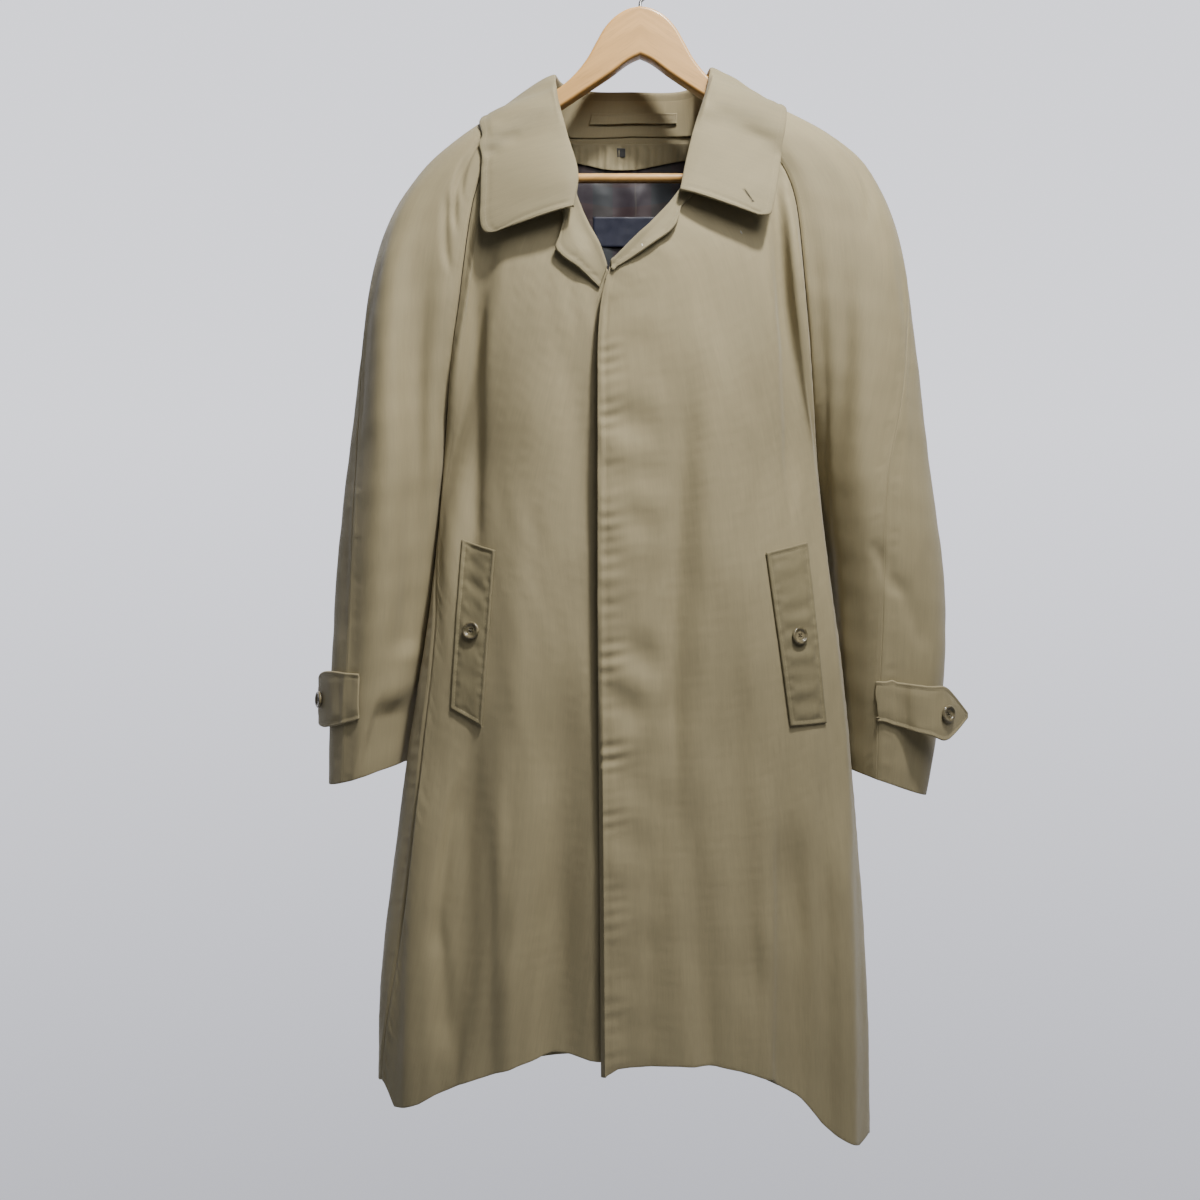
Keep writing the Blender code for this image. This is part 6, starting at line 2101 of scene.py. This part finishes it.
@dataclass
class CuffTab:
    """A pointed cuff tab, sewn to the sleeve at one end, with its button."""

    side: Side
    wall: float = 2.4
    gap: float = 0.5
    rows: int = 34
    columns: int = 90
    topstitch: float = 4.0
    ridge: Swell = (0.4, 2.0, 1.6)
    groove: Swell = (0.4, 4.0, 1.3)
    filling: float = 0.3

    def build(self, sleeve: Cloths) -> None:
        """Seat the tab's sewn end on the sleeve, keep the rest clear of it, and sew and button it."""
        tab = CUFF_TAB[self.side.value]
        coarse = np.linspace(0.0, 1.0, 19)
        top = point_on({**tab, "z": tab["top"]}, coarse)
        foot = point_on({**tab, "z": tab["foot"]}, coarse)
        points = np.moveaxis(between(top.T, foot.T, 6), (0, 2), (2, 0))
        facing = (0.6, -0.8, 0.0) if self.side is Side.LEFT else (-1.0, -0.8, 0.0)
        sewn = sleeve.seated(points)
        points = sewn + (points - sewn) * ease(coarse, *TAB_FREE)[None, :, None]
        points = points + Grid(points, facing).normals() * (self.gap + self.wall)
        for _ in range(3):
            points += sleeve.pushes(points, self.gap + self.wall)
        face = Grid(finer(points, np.linspace(0, 5, self.rows), np.linspace(0, 18, self.columns)), facing)
        edge = face.nearest(Edge.TOP, Edge.FOOT, Edge.LAST)
        soft = Ripples(30.0, 0.3, 2.5, 6, seed=81).height(face.run(1), face.run(0))
        height = turned_edge(edge, self.ridge, self.groove)
        face = face.moved(height + (self.filling + 0.35 * soft) * ease(edge, 5.0, 12.0))
        name = "cuff_tab_" + self.side.value
        Cloth(name, face, self.wall, SHELL_TWILL).fit("hung", "sleeve_" + self.side.value + "_back")
        trails = [face.line(edge, self.topstitch, (2.0, 16.0)) for edge in (Edge.TOP, Edge.FOOT)]
        Needle().sew("stitches_tab_" + self.side.value, trails, SHELL_THREAD)
        column = TAB_BUTTON_COLUMN[self.side.value] / 8 * (self.columns - 1)
        centre, normal = face.spot(np.array([(self.rows - 1) / 2]), np.array([column]))
        Button("cuff_button_" + self.side.value).build(centre[0], normal[0])


@dataclass
class Button:
    """A turned horn button with a rim, four holes and its thread."""

    name: str
    radius: float = BUTTON_DIAMETER / 2
    height: float = BUTTON_THICKNESS
    hole_circle: float = 1.75
    hole: float = 0.85
    hole_depth: float = 1.25
    shank: float = 0.3
    rings: int = 30
    spokes: int = 72

    def build(self, seat: np.ndarray, way: np.ndarray) -> None:
        """Turn the profile about the way that the button faces, sink its holes, and add the thread.

        The face is p(r) - depth * sum of exp(-(distance to a hole / hole)^6), where p is the profile.

        Args:
            seat: The point of the cloth under the button.
            way: The cloth's normal there.
        """
        profile = table("at r up", (0, 0.0, 0.50), (1, 0.30, 0.50), (2, 0.55, 0.56), (3, 0.68, 0.86),
                        (4, 0.80, 1.0), (5, 0.92, 0.94), (6, 1.0, 0.64), (7, 0.985, 0.36), (8, 0.72, 0.04),
                        (9, 0.30, 0.0), (10, 0.0, 0.0))
        at = np.unique(np.concatenate([np.linspace(0.0, 3.0, self.rings), np.linspace(3.0, 10.0, 24)]))[1:-1]
        radius = smooth(profile, "r", at)[:, None] * self.radius
        up = smooth(profile, "up", at)[:, None] * self.height
        turn = np.linspace(0.0, 2 * math.pi, self.spokes, endpoint=False)
        across = radius * np.cos(turn)
        aside = radius * np.sin(turn)
        up = up + 0 * turn
        for corner in range(4):
            angle = math.pi / 4 + corner * math.pi / 2
            apart = np.hypot(across - self.hole_circle * math.cos(angle),
                             aside - self.hole_circle * math.sin(angle))
            up = np.where(at[:, None] < 3.0, up - self.hole_depth * np.exp(-(apart / self.hole) ** 6), up)
        local = np.stack([across, aside, up], axis=-1).reshape(-1, 3)
        local = np.concatenate([local, [[0, 0, 0.50 * self.height], [0, 0, 0]]])
        turned = np.array(Vector(way).to_track_quat("Z", "Y").to_matrix())
        points = local @ turned.T + seat + way * self.shank
        rings, spokes = across.shape
        number = np.arange(rings * spokes).reshape(rings, spokes)
        following = np.roll(number, -1, axis=1)
        quads = np.stack([number[:-1], number[1:], following[1:], following[:-1]], axis=-1).reshape(-1, 4)
        caps = [np.stack([number[0], following[0], 0 * number[0] + rings * spokes], axis=-1),
                np.stack([following[-1], number[-1], 0 * number[0] + rings * spokes + 1], axis=-1)]
        name = self.name + "_horn"
        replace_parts(shown(name, mesh_of(name, points, quads, np.concatenate(caps)), HORN), self.name)
        side, upward = turned[:, 0], turned[:, 1]
        middle = seat + way * (self.shank + 0.5 * self.height + 0.15)
        reach = self.hole_circle * 1.12
        trails = []
        for shift in (-0.22, 0.0, 0.22):
            for angle in (0.75 * math.pi, 1.75 * math.pi):
                start = side * (reach * math.cos(angle) + shift) + upward * (reach * math.sin(angle) + shift)
                trails.append(Trail(np.array([middle + start, middle - start]), np.array([way, way])))
        Needle(length=4.2, gap=0.0, width=0.42, height=0.6).sew("thread_" + self.name, trails, BUTTON_THREAD)


@dataclass
class Hanger:
    """The wooden hanger: a shaped board, a round bar and a wire hook."""

    outline_points: int = 220
    bevel_steps: int = 5

    def build(self) -> None:
        """Build the board, the bar and the hook."""
        self.build_board()
        self.build_bar()
        self.build_hook()

    def build_board(self) -> None:
        """The board's outline on smooth arcs, thick along Y, with rounded edges."""
        x, z = HANGER_OUTLINE["x"], HANGER_OUTLINE["z"]
        run = np.concatenate([[0.0], np.cumsum(np.hypot(np.diff(x), np.diff(z)))])
        where = np.linspace(0.0, run[-1], self.outline_points)
        half_x = smooth({"at": run, "v": x}, "v", where)
        half_z = smooth({"at": run, "v": z}, "v", where)
        across = np.concatenate([half_x, -half_x[-2:0:-1]])
        level = np.concatenate([half_z, half_z[-2:0:-1]])
        curve = bpy.data.curves.new("hanger_body", "CURVE")
        curve.dimensions = "2D"
        curve.fill_mode = "BOTH"
        curve.extrude = (HANGER_THICKNESS / 2 - HANGER_EDGE) * MM
        curve.bevel_depth = HANGER_EDGE * MM
        curve.bevel_resolution = self.bevel_steps
        curve.offset = -HANGER_EDGE * MM
        spline = curve.splines.new("POLY")
        spline.points.add(len(across) - 1)
        flat = np.stack([across * MM, level * MM, 0 * across, 1 + 0 * across], axis=1)
        spline.points.foreach_set("co", flat.astype(np.float32).ravel())
        spline.use_cyclic_u = True
        mesh = meshed(curve)
        count = len(mesh.vertices)
        points = np.zeros(count * 3, dtype=np.float32)
        mesh.vertices.foreach_get("co", points)
        points = points.reshape(-1, 3)
        points = np.stack([points[:, 0], -points[:, 2], points[:, 1]], axis=1)
        mesh.vertices.foreach_set("co", points.ravel())
        mesh.update()
        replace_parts(shown("hanger_body_wood", mesh, BEECH), "hanger_body")

    def build_bar(self) -> None:
        """The bar: rings of r (0, cos a, sin a) along X, rounded at the ends."""
        radius = BAR_DIAMETER / 2
        rim = np.radians(np.linspace(90.0, 10.0, 6))
        ends = BAR_HALF - 1.0 + np.cos(rim) * 1.0
        size = radius - 1.0 + np.sin(rim) * 1.0
        along = np.concatenate([-ends[::-1], np.linspace(-BAR_HALF + 3, BAR_HALF - 3, 40), ends])
        reach = np.concatenate([size[::-1], np.full(40, radius), size])
        tube("hanger_bar", np.stack([along, 0 * along, 0 * along + BAR_Z], axis=1), reach, 40, BEECH)

    def build_hook(self) -> None:
        """The hook's wire: a straight stem that bends aside and goes round in a bow."""
        wire = HOOK_WIRE / 2
        middle = HOOK_RADIUS + wire
        turn = np.radians(np.linspace(*HOOK_TURN, 90))
        bow = np.stack([middle * np.cos(turn), 0 * turn, middle * np.sin(turn) - HOOK_RADIUS], axis=1)
        stem = np.array(((0.0, 0.0, HOOK_FOOT), (0.0, 0.0, -51.0), (0.6, 0.0, -48.0), (4.0, 0.0, -44.6)))
        knots = np.concatenate([stem, bow[::6], bow[-1:]])
        run = np.concatenate([[0.0], np.cumsum(np.linalg.norm(np.diff(knots, axis=0), axis=1))])
        where = np.linspace(0.0, run[-1], 160)
        path = np.stack([smooth({"at": run, "v": knots[:, axis]}, "v", where) for axis in range(3)], axis=1)
        reach = np.full(len(path), wire)
        reach[-3:] = wire * np.array((0.9, 0.7, 0.3))
        tube("hanger_hook", path, reach, 24, HOOK_STEEL)


def meshed(curve: bpy.types.Curve) -> bpy.types.Mesh:
    """A curve made a mesh, smooth-shaded; the curve is removed."""
    holder = bpy.data.objects.new(curve.name, curve)
    bpy.context.scene.collection.objects.link(holder)
    bpy.context.view_layer.update()
    shape = holder.evaluated_get(bpy.context.evaluated_depsgraph_get())
    mesh = bpy.data.meshes.new_from_object(shape)
    bpy.data.objects.remove(holder)
    bpy.data.curves.remove(curve)
    mesh.shade_smooth()
    mesh.set_sharp_from_angle(angle=math.radians(40.0))
    return mesh


def tube(name: str, path: np.ndarray, radius: np.ndarray, sides: int, finish: Finish) -> None:
    """A closed round tube along a path, over the CAD node of its name.

    A ring is p + r (u cos a + v sin a), where u and v are across the path; its ends close in a point.

    Args:
        name: The piece's name.
        path: The points of its middle line.
        radius: Its radius at each point.
        sides: How many sides a ring has.
        finish: Its finish.
    """
    way = unit(np.gradient(path, axis=0))
    first = unit(np.cross(way, np.array((0.0, 1.0, 0.0))))
    last = np.cross(way, first)
    turn = np.linspace(0.0, 2 * math.pi, sides, endpoint=False)[None, :, None]
    out = first[:, None] * np.cos(turn) + last[:, None] * np.sin(turn)
    rings = path[:, None] + radius[:, None, None] * out
    points = np.concatenate([rings.reshape(-1, 3), path[:1], path[-1:]])
    number = np.arange(len(path) * sides).reshape(len(path), sides)
    following = np.roll(number, -1, axis=1)
    quads = np.stack([number[:-1], following[:-1], following[1:], number[1:]], axis=-1).reshape(-1, 4)
    poles = np.full(sides, len(path) * sides)
    caps = np.concatenate([np.stack([following[0], number[0], poles], axis=-1),
                           np.stack([number[-1], following[-1], poles + 1], axis=-1)])
    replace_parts(shown(name + "_round", mesh_of(name + "_round", points, quads, caps), finish), name)


@dataclass
class Studio:
    """The camera, the pale floor and the soft light."""

    camera_place: tuple[float, float, float] = (-0.0416, -1.4, -0.670)
    lens: float = 40.38
    floor_level: float = -2.42
    floor_reach: float = 2.4
    sky: Colour = (1.36, 1.37, 1.50)
    low_sky: Colour = (0.70, 0.71, 0.79)
    dim_sky: Colour = (0.12, 0.12, 0.12)
    warm: Colour = (1.0, 0.985, 0.96)
    key_place: tuple[float, float, float] = (0.42, -0.84, 1.05)
    key_target: tuple[float, float, float] = (0.0, -0.05, -0.22)
    key_size: float = 0.17
    key_power: float = 8.3
    key_spread: float = 70.0
    soft_place: tuple[float, float, float] = (0.62, -1.35, 0.75)
    soft_size: float = 1.2
    soft_power: float = 8.0
    soft_spread: float = 100.0

    def build_camera(self) -> None:
        """A level camera in front of the coat, at the photo's angle."""
        data = bpy.data.cameras.new("camera")
        data.sensor_width = 36.0
        data.lens = self.lens
        data.clip_start = 0.05
        data.clip_end = 30.0
        camera = bpy.data.objects.new("camera", data)
        bpy.context.scene.collection.objects.link(camera)
        camera.location = self.camera_place
        camera.rotation_euler = (math.pi / 2, 0.0, 0.0)
        bpy.context.scene.camera = camera

    def build_stage(self) -> None:
        """The floor, the surrounding light, the key light and the fill."""
        reach = self.floor_reach / MM
        level = self.floor_level / MM
        turn = np.linspace(0.0, 2 * math.pi, 97)[:-1]
        rim = np.stack([reach * np.cos(turn), reach * np.sin(turn), 0 * turn + level], axis=1)
        points = np.concatenate([rim, [[0.0, 0.0, level]]])
        number = np.arange(96)
        caps = np.stack([number, np.roll(number, -1), 0 * number + 96], axis=-1)
        floor = bpy.data.objects.new("floor", mesh_of("floor", points, np.zeros((0, 4), dtype=int), caps))
        floor.data.materials.append(FLOOR_PAINT.material())
        bpy.context.scene.collection.objects.link(floor)
        self.build_sky()
        self.build_light("key", self.key_place, self.key_size, self.key_power, self.key_spread)
        self.build_light("soft", self.soft_place, self.soft_size, self.soft_power, self.soft_spread)

    def build_sky(self) -> None:
        """The light all round: a pale wall's behind the coat (+Y), and a dim room's on the other side."""
        world = bpy.data.worlds.new("sky")
        world.use_nodes = True
        tree = world.node_tree
        parts = tree.nodes.new("ShaderNodeSeparateXYZ")
        tree.links.new(tree.nodes.new("ShaderNodeTexCoord").outputs["Generated"], parts.inputs["Vector"])
        tone: bpy.types.NodeSocket | None = None
        for axis, low, high, first, last in (("Z", -0.42, 0.12, self.low_sky, self.sky),
                                             ("Y", 0.1, 0.6, self.dim_sky, None)):
            part = tree.nodes.new("ShaderNodeMapRange")
            part.inputs["From Min"].default_value = low
            part.inputs["From Max"].default_value = high
            tree.links.new(parts.outputs[axis], part.inputs["Value"])
            mix = tree.nodes.new("ShaderNodeMix")
            mix.data_type = "RGBA"
            mix.inputs[6].default_value = (*first, 1.0)
            if tone is None:
                mix.inputs[7].default_value = (*last, 1.0)
            else:
                tree.links.new(tone, mix.inputs[7])
            tree.links.new(part.outputs["Result"], mix.inputs[0])
            tone = mix.outputs[2]
        tree.links.new(tone, tree.nodes["Background"].inputs["Color"])
        bpy.context.scene.world = world

    def build_light(self, name: str, place: tuple[float, float, float], size: float, power: float,
                    spread: float) -> None:
        """An area light that points at the chest and that the camera doesn't see.

        Args:
            name: The light's name.
            place: Where it stands, in metres.
            size: Its diameter.
            power: Its power in watts.
            spread: The angle of its beam, in degrees.
        """
        data = bpy.data.lights.new(name, "AREA")
        data.shape = "DISK"
        data.size = size
        data.energy = power
        data.spread = math.radians(spread)
        data.color = self.warm
        light = bpy.data.objects.new(name, data)
        bpy.context.scene.collection.objects.link(light)
        light.location = place
        light.rotation_euler = (Vector(self.key_target) - Vector(place)).to_track_quat("-Z", "Y").to_euler()
        light.visible_camera = False


def main() -> None:
    """Set the camera, build the coat and its hanger piece by piece, and set up the floor and the lights."""
    logging.basicConfig(level=logging.INFO, format="%(name)s %(message)s")
    studio = Studio()
    studio.build_camera()
    body = Body()
    panels = body.panels()
    sleeves = [Sleeve(side) for side in Side]
    halves = {side: sleeve.panels() for side, sleeve in zip(Side, sleeves)}
    body.build(panels)
    for side, sleeve in zip(Side, sleeves):
        sleeve.build(halves[side])
    lapels = Lapels().build(panels)
    under = [panel.grid for made in (panels, *halves.values()) for panel in made.values()]
    tops = [Grid(grid.points[:RAGLAN_ROWS], grid.facing) for grid in under]
    collar = Collar()
    collar.build(Cloths(tops + lapels))
    NeckInside().build(panels["back"], collar)
    for side in Side:
        Welt(side).build(panels["front_" + side.value])
        CuffTab(side).build(Cloths([half.grid for half in halves[side].values()]))
    Hanger().build()
    studio.build_stage()


if __name__ == "__main__":
    main()
